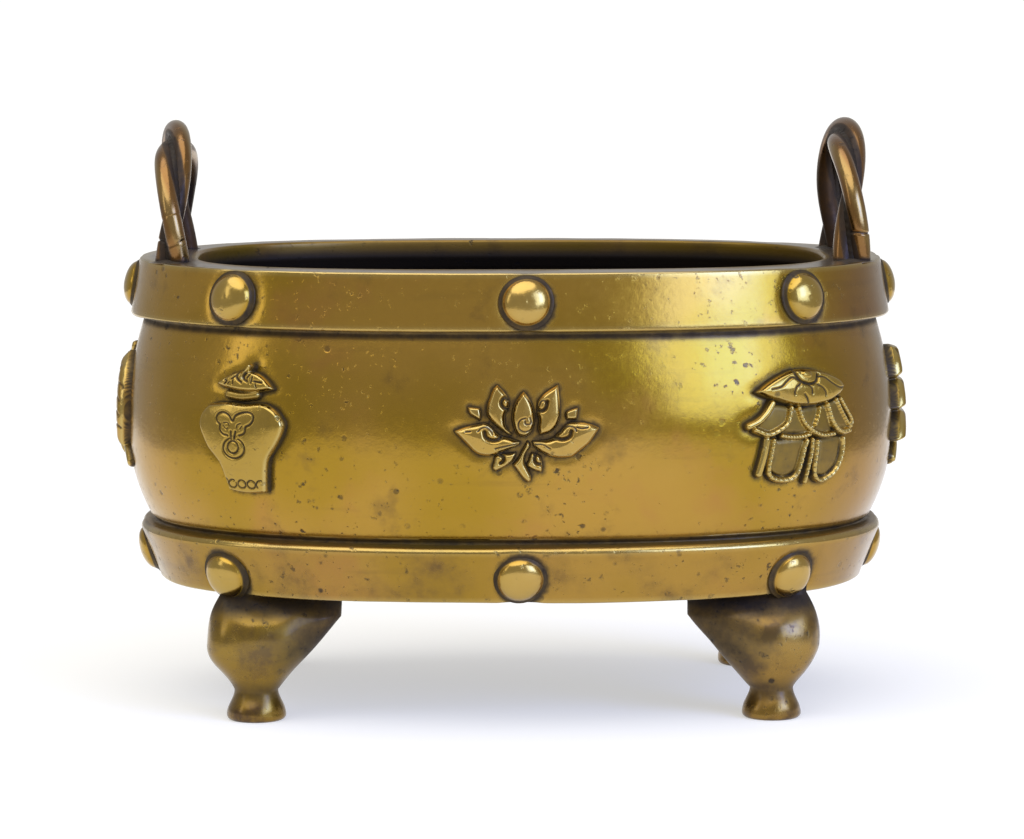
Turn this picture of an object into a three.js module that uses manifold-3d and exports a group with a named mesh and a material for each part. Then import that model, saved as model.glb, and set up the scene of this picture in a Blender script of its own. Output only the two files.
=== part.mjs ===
import * as THREE from "three";
import { mergeVertices } from "three/addons/utils/BufferGeometryUtils.js";
import Module from "manifold-3d";

// Rectangular censer with bowed sides and rounded corners, cast in one piece.
// Millimetres, +Z up, +X along its length, -Y towards the viewer of its front.
// The origin is on the ground, midway between the four feet.

// Plan: a rounded rectangle, drawn as a superellipse.
const BAND_HALF_LENGTH = 106;
const BAND_HALF_DEPTH = 72;
const PLAN_EXPONENT = 2.35;
const STATIONS = 44;

// Upper band, which is also the rim.
const RIM_HEIGHT = 123.7;
const UPPER_BAND_HEIGHT = 15.8;
const UPPER_BAND_TOP_INSET = 2.7;
const BAND_EDGE_ROUND = 0.8;
const RIM_WIDTH_AT_ENDS = 19;
const RIM_WIDTH_AT_SIDES = 14.4;
const OPENING_EXPONENT = 2.9;
const LIP_THICKNESS = 5.4;
const LIP_UNDERSIDE_SLOPE = 2.7;

// Belly between the two bands.
const NECK_GROOVE_INSET = 4;
const NECK_GROOVE_HEIGHT = 2;
const BELLY_SWELL = 0.9;
const BELLY_TOP_DROP = 4.4;
const BELLY_BOTTOM_DROP = 5.8;
const BELLY_TOP_POWER = 1.9;
const BELLY_BOTTOM_POWER = 2.4;
const BELLY_ROWS = 6;
const WALL = 5;

// Lower band and underside.
const UNDERSIDE_HEIGHT = 34.4;
const LOWER_BAND_HEIGHT = 16;
const LOWER_BAND_TOP_INSET = 2.2;
const LOWER_BAND_FOOT_INSET = 7.4;
const SHOULDER_ROUND = 2;
const GROOVE_INSET = 6.4;
const GROOVE_HEIGHT = 1.8;
const FLOOR_THICKNESS = 6;
const FLOOR_CORNER = 14;

// Studs, eight on each band, in line with the emblems.
const STUD_RADIUS = 6.2;
const STUD_HEIGHT = 3.5;
const STUD_COLLAR_WIDTH = 0.8;
const STUD_COLLAR_HEIGHT = 0.7;
const STUD_SIDES = 8;
const STUD_ROOT = 1.5;
const CORNER_STATION = 63.5;
const LOWER_CORNER_STUD_DROP = 2.6;
const LOWER_STUD_DROP = 1;

// The founder spaced the front by eye: how far some studs and emblems stand to the right of an
// even spacing, along the band.
const UPPER_FRONT_STUD_SHIFT = 2.5;
const UPPER_LEFT_STUD_SHIFT = 1.8;
const LOWER_FRONT_STUD_SHIFT = 1;
const LOWER_LEFT_STUD_SHIFT = -5.2;
const LOWER_RIGHT_STUD_SHIFT = 0.9;
const VASE_SHIFT = 7;
const LOTUS_SHIFT = 1.8;
const CANOPY_SHIFT = -2.4;

// Legs and feet. The foot's centre is set in from the ends and sides of the underside; heights up
// the leg are shares of the underside's height.
const FOOT_INSET_X = 28.3;
const FOOT_INSET_Y = 20.6;
const FOOT_RADIUS = 8.1;
const FOOT_RING_HEIGHT = 3.6;
const FOOT_EDGE_ROUND = 0.7;
const ANKLE_RADIUS = 6;
const ANKLE_SHARE = 0.24;
const KNEE_OUT = 13.5;
const KNEE_FRONT = 10.4;
const KNEE_SHARE = 0.6;
const HIP_OUT = 9.4;
const HIP_FRONT = 3.4;
const HIP_SPREAD_X = 23.3;
const HIP_SPREAD_Y = 14;
const HIP_CORNER_SHARE = 0.82;
const LEG_ROOT = 2;
const LEG_SIDES = 12;

// Rope handles, standing on the rim at its two ends, a share of its width out from the opening.
const HANDLE_HALF_SPAN = 26;
const HANDLE_HEIGHT = 38.5;
const HANDLE_RIM_SHARE = 0.62;
const STRAND_RADIUS = 2.6;
const STRAND_ORBIT = 2.7;
const ROPE_CORE_RADIUS = 3.3;
const STRANDS = 2;
const ROPE_PITCH = 73;
const RIGHT_ROPE_START = Math.PI / 22;
const LEFT_ROPE_START = -Math.PI / 7.5;
const ROPE_STEPS = 22;
const ROPE_SIDES = 12;
const ROPE_ROOT = 2;

// Emblems in low relief round the belly, a little above its middle. Their drawings are laid out on
// a sheet of DRAWN_HEIGHT units, which is carved EMBLEM_HEIGHT tall.
const EMBLEM_HEIGHT = 34;
const DRAWN_HEIGHT = 34;
const EMBLEM_RISE = 2.8;
const END_RELIEF = 3.5;
const PARASOL_RELIEF = 4.5;
const RELIEF = 3;
const RELIEF_ROOT = 1.6;

const BRONZE = new THREE.MeshStandardMaterial({
  name: "bronze",
  color: 0x8c6a2c,
  metalness: 1,
  roughness: 0.42,
});

const TURN = 2 * Math.PI;
const QUARTER = Math.PI / 2;
const BAND_BOTTOM = RIM_HEIGHT - UPPER_BAND_HEIGHT;
const LOWER_BAND_TOP = UNDERSIDE_HEIGHT + LOWER_BAND_HEIGHT;
const BELLY_TOP = BAND_BOTTOM - NECK_GROOVE_HEIGHT;
const BELLY_BOTTOM = LOWER_BAND_TOP + GROOVE_HEIGHT;
const BELLY_MIDDLE = (BELLY_TOP + BELLY_BOTTOM) / 2;
const BELLY_HALF_HEIGHT = (BELLY_TOP - BELLY_BOTTOM) / 2;
const FOOT_X = BAND_HALF_LENGTH - LOWER_BAND_FOOT_INSET - FOOT_INSET_X;
const FOOT_Y = BAND_HALF_DEPTH - LOWER_BAND_FOOT_INSET - FOOT_INSET_Y;
const OPENING_HALF_LENGTH = BAND_HALF_LENGTH - RIM_WIDTH_AT_ENDS;
const OPENING_HALF_DEPTH = BAND_HALF_DEPTH - RIM_WIDTH_AT_SIDES;

// Solids

const manifold = await Module();
manifold.setup();

// Closed surface through a list of rings with equal numbers of points. Each four-sided facet is cut
// along its shorter diagonal. The two ends get a fan each, or are joined when the rings go round.
function skin(rings, goesRound = false) {
  const sides = rings[0].length;
  const points = rings.flat();
  const faces = [];
  const rows = goesRound ? rings.length : rings.length - 1;
  for (let row = 0; row < rows; row += 1) {
    for (let side = 0; side < sides; side += 1) {
      const nextRow = ((row + 1) % rings.length) * sides;
      const a = row * sides + side;
      const b = row * sides + ((side + 1) % sides);
      const c = nextRow + ((side + 1) % sides);
      const d = nextRow + side;
      if (points[a].distanceTo(points[c]) < points[b].distanceTo(points[d])) {
        faces.push(a, b, c, a, c, d);
      } else {
        faces.push(a, b, d, b, c, d);
      }
    }
  }
  const ends = goesRound ? [] : [rings[0], rings[rings.length - 1]];
  ends.forEach((ring, end) => {
    const centre = ring.reduce((sum, point) => sum.add(point), new THREE.Vector3()).divideScalar(sides);
    const hub = points.push(centre) - 1;
    const start = end * (rings.length - 1) * sides;
    for (let side = 0; side < sides; side += 1) {
      const here = start + side;
      const next = start + ((side + 1) % sides);
      faces.push(hub, end ? here : next, end ? next : here);
    }
  });
  const geometry = new THREE.BufferGeometry().setFromPoints(points);
  geometry.setIndex(faces);
  return geometry;
}

// Solid for joining, from any closed geometry; a surface that was built inside out is turned round.
function solidOf(geometry) {
  geometry.deleteAttribute("normal");
  geometry.deleteAttribute("uv");
  const merged = mergeVertices(geometry, 1e-4);
  const vertProperties = new Float32Array(merged.attributes.position.array);
  const triVerts = new Uint32Array(merged.index.array);
  if (signedVolume(vertProperties, triVerts) < 0) {
    for (let corner = 0; corner < triVerts.length; corner += 3) {
      [triVerts[corner], triVerts[corner + 1]] = [triVerts[corner + 1], triVerts[corner]];
    }
  }
  return new manifold.Manifold(new manifold.Mesh({ numProp: 3, vertProperties, triVerts }));
}

// Six times the volume inside a triangle mesh, positive when its faces point out.
function signedVolume(positions, corners) {
  let sum = 0;
  const point = (corner) => new THREE.Vector3().fromArray(positions, 3 * corners[corner]);
  for (let corner = 0; corner < corners.length; corner += 3) {
    sum += point(corner).dot(point(corner + 1).cross(point(corner + 2)));
  }
  return sum;
}

function geometryOf(solid) {
  const { vertProperties, triVerts } = solid.getMesh();
  const geometry = new THREE.BufferGeometry();
  geometry.setAttribute("position", new THREE.BufferAttribute(new Float32Array(vertProperties), 3));
  geometry.setIndex(new THREE.BufferAttribute(new Uint32Array(triVerts), 1));
  geometry.computeVertexNormals();
  return geometry;
}

// Plan curves

// Superellipse: a circle's cosine and sine raised to 2 over the exponent, so 2 gives an ellipse.
function planPoint(halfLength, halfDepth, exponent, angle, z) {
  const squared = (value) => Math.sign(value) * Math.abs(value) ** (2 / exponent);
  const x = halfLength * squared(Math.cos(angle));
  const y = halfDepth * squared(Math.sin(angle));
  return new THREE.Vector3(x, y, z);
}

class PlanCurve extends THREE.Curve {
  getPoint(t) {
    return planPoint(BAND_HALF_LENGTH, BAND_HALF_DEPTH, PLAN_EXPONENT, TURN * t, 0);
  }
}

const plan = new PlanCurve();
plan.arcLengthDivisions = 2000;
const GIRTH = plan.getLength();

// Angle of the plan point that lies a distance along the band from the middle of its +X end.
function angleAt(distance) {
  return TURN * plan.getUtoTmapping(0, ((distance % GIRTH) + GIRTH) % GIRTH);
}

const STATION_ANGLES = Array.from({ length: STATIONS }, (_, index) => angleAt((GIRTH * index) / STATIONS));

// Ring of plan points, inset from the band's face by the same amount all round.
function insetRing(inset, z) {
  const halfLength = BAND_HALF_LENGTH - inset;
  const halfDepth = BAND_HALF_DEPTH - inset;
  return STATION_ANGLES.map((angle) => planPoint(halfLength, halfDepth, PLAN_EXPONENT, angle, z));
}

// Ring of the rim's opening, which is squarer than the outside.
function openingRing(inset, z) {
  const halfLength = OPENING_HALF_LENGTH - inset;
  const halfDepth = OPENING_HALF_DEPTH - inset;
  return STATION_ANGLES.map((angle) => planPoint(halfLength, halfDepth, OPENING_EXPONENT, angle, z));
}

// How far a superellipse reaches along X at a distance from its long axis.
function reachAt(halfLength, halfDepth, exponent, y) {
  return halfLength * (1 - Math.abs(y / halfDepth) ** exponent) ** (1 / exponent);
}

// How far the belly's face lies inside the band's face: a swell that drops away as a power of
// the height from its middle.
function bellyInset(z) {
  const rise = (z - BELLY_MIDDLE) / BELLY_HALF_HEIGHT;
  const drop = rise > 0 ? BELLY_TOP_DROP : BELLY_BOTTOM_DROP;
  const power = rise > 0 ? BELLY_TOP_POWER : BELLY_BOTTOM_POWER;
  return drop * Math.abs(rise) ** power - BELLY_SWELL;
}

function lowerBandInset(z) {
  const rise = (z - UNDERSIDE_HEIGHT) / LOWER_BAND_HEIGHT;
  return LOWER_BAND_FOOT_INSET + (LOWER_BAND_TOP_INSET - LOWER_BAND_FOOT_INSET) * rise;
}

function upperBandInset(z) {
  return (UPPER_BAND_TOP_INSET * (z - BAND_BOTTOM)) / UPPER_BAND_HEIGHT;
}

// Vessel

function vesselOutside() {
  const lowerShoulder = LOWER_BAND_TOP - SHOULDER_ROUND;
  const rings = [
    insetRing(LOWER_BAND_FOOT_INSET + BAND_EDGE_ROUND, UNDERSIDE_HEIGHT),
    insetRing(LOWER_BAND_FOOT_INSET, UNDERSIDE_HEIGHT + BAND_EDGE_ROUND),
    insetRing(LOWER_BAND_TOP_INSET, lowerShoulder),
    insetRing(LOWER_BAND_TOP_INSET + 0.3 * SHOULDER_ROUND, LOWER_BAND_TOP - 0.3 * SHOULDER_ROUND),
    insetRing(LOWER_BAND_TOP_INSET + SHOULDER_ROUND, LOWER_BAND_TOP),
    insetRing(GROOVE_INSET, LOWER_BAND_TOP + GROOVE_HEIGHT / 4),
  ];
  for (let row = 0; row <= BELLY_ROWS; row += 1) {
    const z = BELLY_MIDDLE - BELLY_HALF_HEIGHT * Math.cos((Math.PI * row) / BELLY_ROWS);
    rings.push(insetRing(bellyInset(z), z));
  }
  return [
    ...rings,
    insetRing(NECK_GROOVE_INSET, BAND_BOTTOM - NECK_GROOVE_HEIGHT / 4),
    insetRing(BAND_EDGE_ROUND, BAND_BOTTOM),
    insetRing(upperBandInset(BAND_BOTTOM + BAND_EDGE_ROUND), BAND_BOTTOM + BAND_EDGE_ROUND),
    insetRing(upperBandInset(RIM_HEIGHT - BAND_EDGE_ROUND), RIM_HEIGHT - BAND_EDGE_ROUND),
    insetRing(UPPER_BAND_TOP_INSET + BAND_EDGE_ROUND, RIM_HEIGHT),
  ];
}

function vesselInside() {
  const floor = UNDERSIDE_HEIGHT + FLOOR_THICKNESS;
  const lipBottom = RIM_HEIGHT - LIP_THICKNESS;
  const rings = [
    openingRing(-BAND_EDGE_ROUND, RIM_HEIGHT),
    openingRing(0, RIM_HEIGHT - BAND_EDGE_ROUND),
    openingRing(0, lipBottom),
    insetRing(WALL + bellyInset(BELLY_TOP), lipBottom - LIP_UNDERSIDE_SLOPE),
  ];
  for (let row = BELLY_ROWS; row >= 0; row -= 2) {
    const z = BELLY_BOTTOM + ((BELLY_TOP - BELLY_BOTTOM) * row) / BELLY_ROWS;
    rings.push(insetRing(WALL + bellyInset(z), z));
  }
  const wallFoot = WALL + bellyInset(BELLY_BOTTOM);
  const cornerHeight = BELLY_BOTTOM - floor;
  [0.35, 1].forEach((share) => {
    const rise = cornerHeight * (1 - Math.sin(share * QUARTER));
    rings.push(insetRing(wallFoot + FLOOR_CORNER * (1 - Math.cos(share * QUARTER)), floor + rise));
  });
  return rings;
}

function vessel() {
  return solidOf(skin([...vesselOutside(), ...vesselInside()]));
}

// Placing on the wall

// Returns a function from (right, up, out) beside a point of the wall to space. The point lies at
// an angle of the plan and a height, on the face that insetAt describes.
function wallFrame(distance, centreZ, insetAt) {
  const faceAt = (angle, z) => {
    const inset = insetAt(z);
    return planPoint(BAND_HALF_LENGTH - inset, BAND_HALF_DEPTH - inset, PLAN_EXPONENT, angle, z);
  };
  return (right, up, out) => {
    const step = 0.5;
    const z = centreZ + up;
    const along = distance + right;
    const before = faceAt(angleAt(along - step), z);
    const after = faceAt(angleAt(along + step), z);
    const here = before.clone().lerp(after, 0.5);
    const upwards = faceAt(angleAt(along), z + step).sub(faceAt(angleAt(along), z - step));
    const normal = after.sub(before).cross(upwards).normalize();
    return here.addScaledVector(normal, out);
  };
}

const STATION_DISTANCES = {
  rightEnd: 0,
  backRight: CORNER_STATION,
  back: GIRTH / 4,
  backLeft: GIRTH / 2 - CORNER_STATION,
  leftEnd: GIRTH / 2,
  frontLeft: GIRTH / 2 + CORNER_STATION,
  front: (3 * GIRTH) / 4,
  frontRight: GIRTH - CORNER_STATION,
};

// Studs

// Domed stud with a thin collar, round the +Z axis, its root below z = 0.
function studGeometry() {
  const dome = (share) => {
    const angle = share * QUARTER;
    return [STUD_RADIUS * Math.cos(angle), STUD_HEIGHT * Math.sin(angle)];
  };
  const collar = STUD_RADIUS + STUD_COLLAR_WIDTH;
  const root = [[0, -STUD_ROOT], [collar, -STUD_ROOT], [collar, STUD_COLLAR_HEIGHT]];
  const outline = [...root, dome(0.16), dome(0.55), [0, STUD_HEIGHT]];
  const profile = outline.map(([radius, z]) => new THREE.Vector2(radius, z));
  return new THREE.LatheGeometry(profile, STUD_SIDES).rotateX(QUARTER);
}

function stud(distance, z, insetAt) {
  const frame = wallFrame(distance, z, insetAt);
  const seat = frame(0, 0, 0);
  const out = frame(0, 0, 1).sub(seat);
  const turn = new THREE.Quaternion().setFromUnitVectors(new THREE.Vector3(0, 0, 1), out.normalize());
  return solidOf(studGeometry().applyQuaternion(turn).translate(seat.x, seat.y, seat.z));
}

function studs() {
  const upperZ = RIM_HEIGHT - UPPER_BAND_HEIGHT / 2;
  const lowerZ = UNDERSIDE_HEIGHT + LOWER_BAND_HEIGHT / 2;
  const corners = ["backRight", "backLeft", "frontLeft", "frontRight"];
  const upperShifts = { front: UPPER_FRONT_STUD_SHIFT, frontLeft: UPPER_LEFT_STUD_SHIFT };
  const lowerShifts = {
    front: LOWER_FRONT_STUD_SHIFT,
    frontLeft: LOWER_LEFT_STUD_SHIFT,
    frontRight: LOWER_RIGHT_STUD_SHIFT,
  };
  return Object.entries(STATION_DISTANCES).flatMap(([name, distance]) => {
    const drop = corners.includes(name) ? LOWER_CORNER_STUD_DROP : LOWER_STUD_DROP;
    return [
      stud(distance + (upperShifts[name] ?? 0), upperZ, upperBandInset),
      stud(distance + (lowerShifts[name] ?? 0), lowerZ - drop, lowerBandInset),
    ];
  });
}

// Legs

// Cabriole leg for one corner. Each ring is four quarter ellipses that share the foot's centre,
// one half-width to each side: out along X, in along X, out along Y, in along Y.
function leg(sideX, sideY) {
  const mixed = (from, to, share) => from + (to - from) * share;
  const ankleZ = UNDERSIDE_HEIGHT * ANKLE_SHARE;
  const kneeZ = UNDERSIDE_HEIGHT * KNEE_SHARE;
  const hipCornerZ = UNDERSIDE_HEIGHT * HIP_CORNER_SHARE;
  const round = (z, radius) => ({ z, out: radius, front: radius, spread: 0 });
  const spreadAt = (z) => Math.min(1, (z - ankleZ) / (hipCornerZ - ankleZ));
  const rows = [
    round(0, FOOT_RADIUS - FOOT_EDGE_ROUND),
    round(FOOT_EDGE_ROUND, FOOT_RADIUS),
    round(FOOT_RING_HEIGHT - FOOT_EDGE_ROUND, FOOT_RADIUS),
    round(mixed(FOOT_RING_HEIGHT, ankleZ, 0.2), mixed(FOOT_RADIUS, ANKLE_RADIUS, 0.65)),
    round(ankleZ, ANKLE_RADIUS),
  ];
  [0.3, 0.65, 1].forEach((share) => {
    const z = mixed(ankleZ, kneeZ, share);
    const swell = Math.sin(share * QUARTER) ** 1.3;
    const out = mixed(ANKLE_RADIUS, KNEE_OUT, swell);
    rows.push({ z, out, front: mixed(ANKLE_RADIUS, KNEE_FRONT, swell), spread: spreadAt(z) });
  });
  [0.55, 1].forEach((share) => {
    const z = mixed(kneeZ, UNDERSIDE_HEIGHT, share);
    const tuck = 1 - Math.cos(share * QUARTER);
    const out = mixed(KNEE_OUT, HIP_OUT, tuck);
    rows.push({ z, out, front: mixed(KNEE_FRONT, HIP_FRONT, tuck), spread: spreadAt(z) });
  });
  rows.push({ z: UNDERSIDE_HEIGHT + LEG_ROOT, out: HIP_OUT, front: HIP_FRONT, spread: 1 });
  const rings = rows.map(({ z, out, front, spread }) => {
    const narrow = Math.max(ANKLE_RADIUS, z < ankleZ ? out : 0);
    const inX = mixed(narrow, HIP_SPREAD_X, spread);
    const inY = mixed(narrow, HIP_SPREAD_Y, spread);
    return Array.from({ length: LEG_SIDES }, (_, side) => {
      const angle = (TURN * side) / LEG_SIDES;
      const x = Math.cos(angle) * (Math.cos(angle) > 0 ? out : inX);
      const y = Math.sin(angle) * (Math.sin(angle) > 0 ? front : inY);
      return new THREE.Vector3(sideX * (FOOT_X + x), sideY * (FOOT_Y + y), z);
    });
  });
  return solidOf(skin(rings));
}

function legs() {
  return [leg(1, 1), leg(-1, 1), leg(-1, -1), leg(1, -1)];
}

// Handles

// Centre line of a handle in the plane across the censer: up, over a round arch and down.
class HandleLine extends THREE.Curve {
  getPoint(t) {
    const crown = RIM_HEIGHT + HANDLE_HEIGHT - STRAND_ORBIT - STRAND_RADIUS;
    const spring = crown - HANDLE_HALF_SPAN;
    const straight = spring - RIM_HEIGHT + ROPE_ROOT;
    const arch = Math.PI * HANDLE_HALF_SPAN;
    const travelled = t * (2 * straight + arch);
    if (travelled < straight) {
      return new THREE.Vector3(0, -HANDLE_HALF_SPAN, RIM_HEIGHT - ROPE_ROOT + travelled);
    }
    if (travelled > straight + arch) {
      return new THREE.Vector3(0, HANDLE_HALF_SPAN, spring - (travelled - straight - arch));
    }
    const angle = (travelled - straight) / HANDLE_HALF_SPAN;
    const y = -HANDLE_HALF_SPAN * Math.cos(angle);
    return new THREE.Vector3(0, y, spring + HANDLE_HALF_SPAN * Math.sin(angle));
  }
}

// Reach of the rope's lobed section from its centre: the furthest edge of any round strand
// that orbits the centre, or of the core that fills the groove between the strands.
function ropeReach(angle) {
  let reach = ROPE_CORE_RADIUS;
  for (let strand = 0; strand < STRANDS; strand += 1) {
    const away = angle - (TURN * strand) / STRANDS;
    const across = STRAND_ORBIT * Math.sin(away);
    if (Math.abs(across) < STRAND_RADIUS && Math.cos(away) > 0) {
      const edge = STRAND_ORBIT * Math.cos(away) + Math.sqrt(STRAND_RADIUS ** 2 - across ** 2);
      reach = Math.max(reach, edge);
    }
  }
  return reach;
}

// Rope handle: the lobed section is carried along the centre line and turns once in every pitch.
function handle(side, startTwist) {
  const rimHalfLength = BAND_HALF_LENGTH - UPPER_BAND_TOP_INSET;
  const rimHalfDepth = BAND_HALF_DEPTH - UPPER_BAND_TOP_INSET;
  const outer = reachAt(rimHalfLength, rimHalfDepth, PLAN_EXPONENT, HANDLE_HALF_SPAN);
  const inner = reachAt(OPENING_HALF_LENGTH, OPENING_HALF_DEPTH, OPENING_EXPONENT, HANDLE_HALF_SPAN);
  const x = side * (inner + (outer - inner) * HANDLE_RIM_SHARE);
  const line = new HandleLine();
  const length = line.getLength();
  const rings = Array.from({ length: ROPE_STEPS + 1 }, (_, step) => {
    const centre = line.getPointAt(step / ROPE_STEPS);
    const along = line.getTangentAt(step / ROPE_STEPS);
    const sideways = new THREE.Vector3(1, 0, 0);
    const inward = along.clone().cross(sideways);
    const twist = startTwist - (TURN * length * step) / (ROPE_STEPS * ROPE_PITCH);
    return Array.from({ length: ROPE_SIDES }, (_, corner) => {
      const angle = (TURN * corner) / ROPE_SIDES;
      const reach = ropeReach(angle);
      const point = centre.clone().setX(x);
      point.addScaledVector(sideways, reach * Math.cos(angle + twist));
      return point.addScaledVector(inward, reach * Math.sin(angle + twist));
    });
  });
  return solidOf(skin(rings));
}

function handles() {
  return [handle(1, RIGHT_ROPE_START), handle(-1, LEFT_ROPE_START)];
}

// Relief carving. Shapes are drawn flat, (right, up) in drawing units from the emblem's centre, with
// a height above the wall, and laid on the belly by a wall frame.

// Closed form through rows of [right, up, height] points; each row is brought round under the wall.
function reliefForm(frame, rows, goesRound = false) {
  const rings = rows.map((row) => {
    const roots = [row[row.length - 1], row[0]].map(([right, up]) => [right, up, -RELIEF_ROOT]);
    return [...row, ...roots].map(([right, up, height]) => frame(right, up, height));
  });
  return solidOf(skin(rings, goesRound));
}

// Pointed leaf or petal from one point to another, bowed to its side, with a ridge down its middle.
function leaf(frame, from, to, halfWidth, height, bow = 0, steps = 4) {
  const direction = new THREE.Vector2(to[0] - from[0], to[1] - from[1]);
  const side = new THREE.Vector2(-direction.y, direction.x).normalize();
  const rows = Array.from({ length: steps + 1 }, (_, step) => {
    const share = 0.04 + (0.92 * step) / steps;
    const middle = new THREE.Vector2(from[0], from[1]).addScaledVector(direction, share);
    middle.addScaledVector(side, bow * Math.sin(Math.PI * share));
    const half = halfWidth * Math.sin(Math.PI * share ** 0.8);
    const edge = middle.clone().addScaledVector(side, half);
    const otherEdge = middle.clone().addScaledVector(side, -half);
    const ridge = height * (0.6 + 0.4 * Math.sin(Math.PI * share));
    return [[...edge, height * 0.4], [...middle, ridge], [...otherEdge, height * 0.4]];
  });
  return reliefForm(frame, rows);
}

// Flat-topped strip of one width along a route of [right, up] points, smoothed by a spline.
function strip(frame, route, halfWidth, height, steps = 6) {
  const curve = new THREE.SplineCurve(route.map(([right, up]) => new THREE.Vector2(right, up)));
  const rows = Array.from({ length: steps + 1 }, (_, step) => {
    const middle = curve.getPoint(step / steps);
    const along = curve.getTangent(step / steps);
    const side = new THREE.Vector2(-along.y, along.x).multiplyScalar(halfWidth);
    return [[...middle.clone().add(side), height], [...middle.clone().sub(side), height]];
  });
  return reliefForm(frame, rows);
}

// Rounded block between a left and a right edge that are given for each height of a list.
function crownedForm(frame, levels, height, columns = 4) {
  const rows = levels.map(([up, half, middle = 0, share = 1]) =>
    Array.from({ length: columns + 1 }, (_, column) => {
      const across = (2 * column) / columns - 1;
      const crown = height * share * (0.45 + 0.55 * Math.cos(across * QUARTER));
      return [middle + half * across, up, crown];
    }),
  );
  return reliefForm(frame, rows);
}

// Flat-topped ring round a point.
function hoop(frame, centre, radius, halfWidth, height, sides = 14) {
  const rows = Array.from({ length: sides }, (_, step) => {
    const angle = (TURN * step) / sides;
    return [radius - halfWidth, radius + halfWidth].map((reach) =>
      [centre[0] + reach * Math.cos(angle), centre[1] + reach * Math.sin(angle), height]);
  });
  return reliefForm(frame, rows, true);
}

// Round boss standing on the wall.
function boss(frame, centre, radius, height, sides = 8) {
  const levels = [[1, -RELIEF_ROOT], [1, height * 0.55], [0.6, height]];
  const rings = levels.map(([share, out]) =>
    Array.from({ length: sides }, (_, side) => {
      const angle = (TURN * side) / sides;
      const right = centre[0] + radius * share * Math.cos(angle);
      return frame(right, centre[1] + radius * share * Math.sin(angle), out);
    }),
  );
  return solidOf(skin(rings));
}

// Covered vase: neck, a body that narrows to its foot, a domed lid and a leaning finial.
function vase(frame) {
  const body = [
    [6.1, 7.5], [4.5, 10.2, -0.4], [1, 12.6], [-3, 11.6], [-5.4, 10.2], [-8.2, 8.1, 0.2],
    [-11.6, 6.8, 1], [-17.3, 5.5, 1.4],
  ];
  const lid = [[9.4, 4.5, 1], [10.6, 8.3, 0.4], [12.5, 6.2, 0.4], [14.4, 1.8, 1]];
  return [
    crownedForm(frame, body, RELIEF),
    crownedForm(frame, [[5.6, 5.2, -0.4], [10, 5.2, -0.4]], RELIEF * 0.6, 2),
    crownedForm(frame, lid, RELIEF * 0.9),
    leaf(frame, [0.2, 12], [2, 15.9], 0.8, RELIEF, 0.3, 3),
  ];
}

// Lotus: bud, a pair of upper petals, a pair of wide side petals, small tips, stem and two leaves.
function lotus(frame) {
  return [
    leaf(frame, [-0.1, -2.2], [-0.1, 10.9], 2.9, RELIEF),
    leaf(frame, [-3.2, -1.6], [-7, 12.8], 2.9, RELIEF * 0.85, 1.9),
    leaf(frame, [3.6, -1.6], [9.2, 12.7], 3, RELIEF * 0.85, -0.6),
    leaf(frame, [-0.6, -3.2], [-18.6, 0.5], 4.1, RELIEF * 0.85, 0.9),
    leaf(frame, [1.6, -3.2], [20.2, 1], 4.4, RELIEF * 0.85, -1.4),
    leaf(frame, [-10.6, 2.6], [-15.4, 6.8], 1.7, RELIEF * 0.6, 0, 2),
    leaf(frame, [10.8, 2.2], [14.2, 6.8], 1.8, RELIEF * 0.6, 0, 2),
    leaf(frame, [-2.4, -5.6], [-8.6, -10.2], 1.9, RELIEF * 0.6, 0, 2),
    leaf(frame, [2.2, -4.8], [4, -11.2], 1.9, RELIEF * 0.6, 0, 2),
    strip(frame, [[1, -2.8], [-1, -8.6], [1.3, -13]], 1.1, RELIEF * 0.6, 3),
  ];
}

// Canopy: domed cap with a knob, swags under it, two looped bands and two straight tails.
function canopy(frame) {
  const dome = [
    [4.8, 3.4, 1.6], [6.4, 9.2, 1.5], [8.4, 13.5, 0.5], [9.6, 13.8, 0.2], [11.6, 11.1, 0.9],
    [13.2, 7.1, 0.6], [14.4, 2.5, 0.4],
  ];
  const swags = [
    [[-9.6, 5.8], [-12.6, 2.6], [-17, 0.3]],
    [[-4.2, 5], [-7.4, -0.9], [-15.1, -1.2]],
    [[-1.7, 4.8], [1.6, -1.4], [9.7, -3.3]],
    [[8, 5], [10.6, -1.6], [15.8, -2.8]],
    [[12.4, 5.8], [15, 1.8], [16.8, -1.8]],
    [[-7.2, -2.7], [-2.8, -3.3], [1.8, -2.8]],
  ];
  const loops = [
    [[-9.6, -1.6], [-10.8, -11.2], [-6.4, -14.8], [-1.8, -12], [0.8, -3]],
    [[4.6, -2.6], [4.1, -12], [6.8, -15.4], [12.4, -12.2], [13.9, -2.6]],
  ];
  const tails = [[[-11.4, -2.2], [-13.4, -12.7]], [[2.9, -2.4], [1.5, -15.6]]];
  return [
    crownedForm(frame, dome, RELIEF),
    boss(frame, [0.7, 12.8], 2.3, RELIEF * 1.1, 6),
    ...swags.map((route) => strip(frame, route, 0.9, RELIEF * 0.7, 3)),
    ...loops.map((route) => strip(frame, route, 0.8, RELIEF * 0.6, 7)),
    ...tails.map((route) => strip(frame, route, 0.8, RELIEF * 0.5, 1)),
  ];
}

// Parasol: three tiers that step out, over a short shaft, with a ball on top.
function parasol(frame) {
  const tier = (top, half) => {
    const levels = [[top - 8, half], [top - 4, half * 0.8], [top, half * 0.45]];
    return crownedForm(frame, levels, PARASOL_RELIEF);
  };
  return [
    tier(15.5, 8),
    tier(7, 11.5),
    tier(-1.5, 14.5),
    strip(frame, [[0, -8], [0, -16]], 1.6, PARASOL_RELIEF * 0.4, 2),
    leaf(frame, [-2, -9.5], [-10, -14.5], 1.6, PARASOL_RELIEF * 0.4, 0, 3),
    leaf(frame, [2, -9.5], [10, -14.5], 1.6, PARASOL_RELIEF * 0.4, 0, 3),
  ];
}

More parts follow.
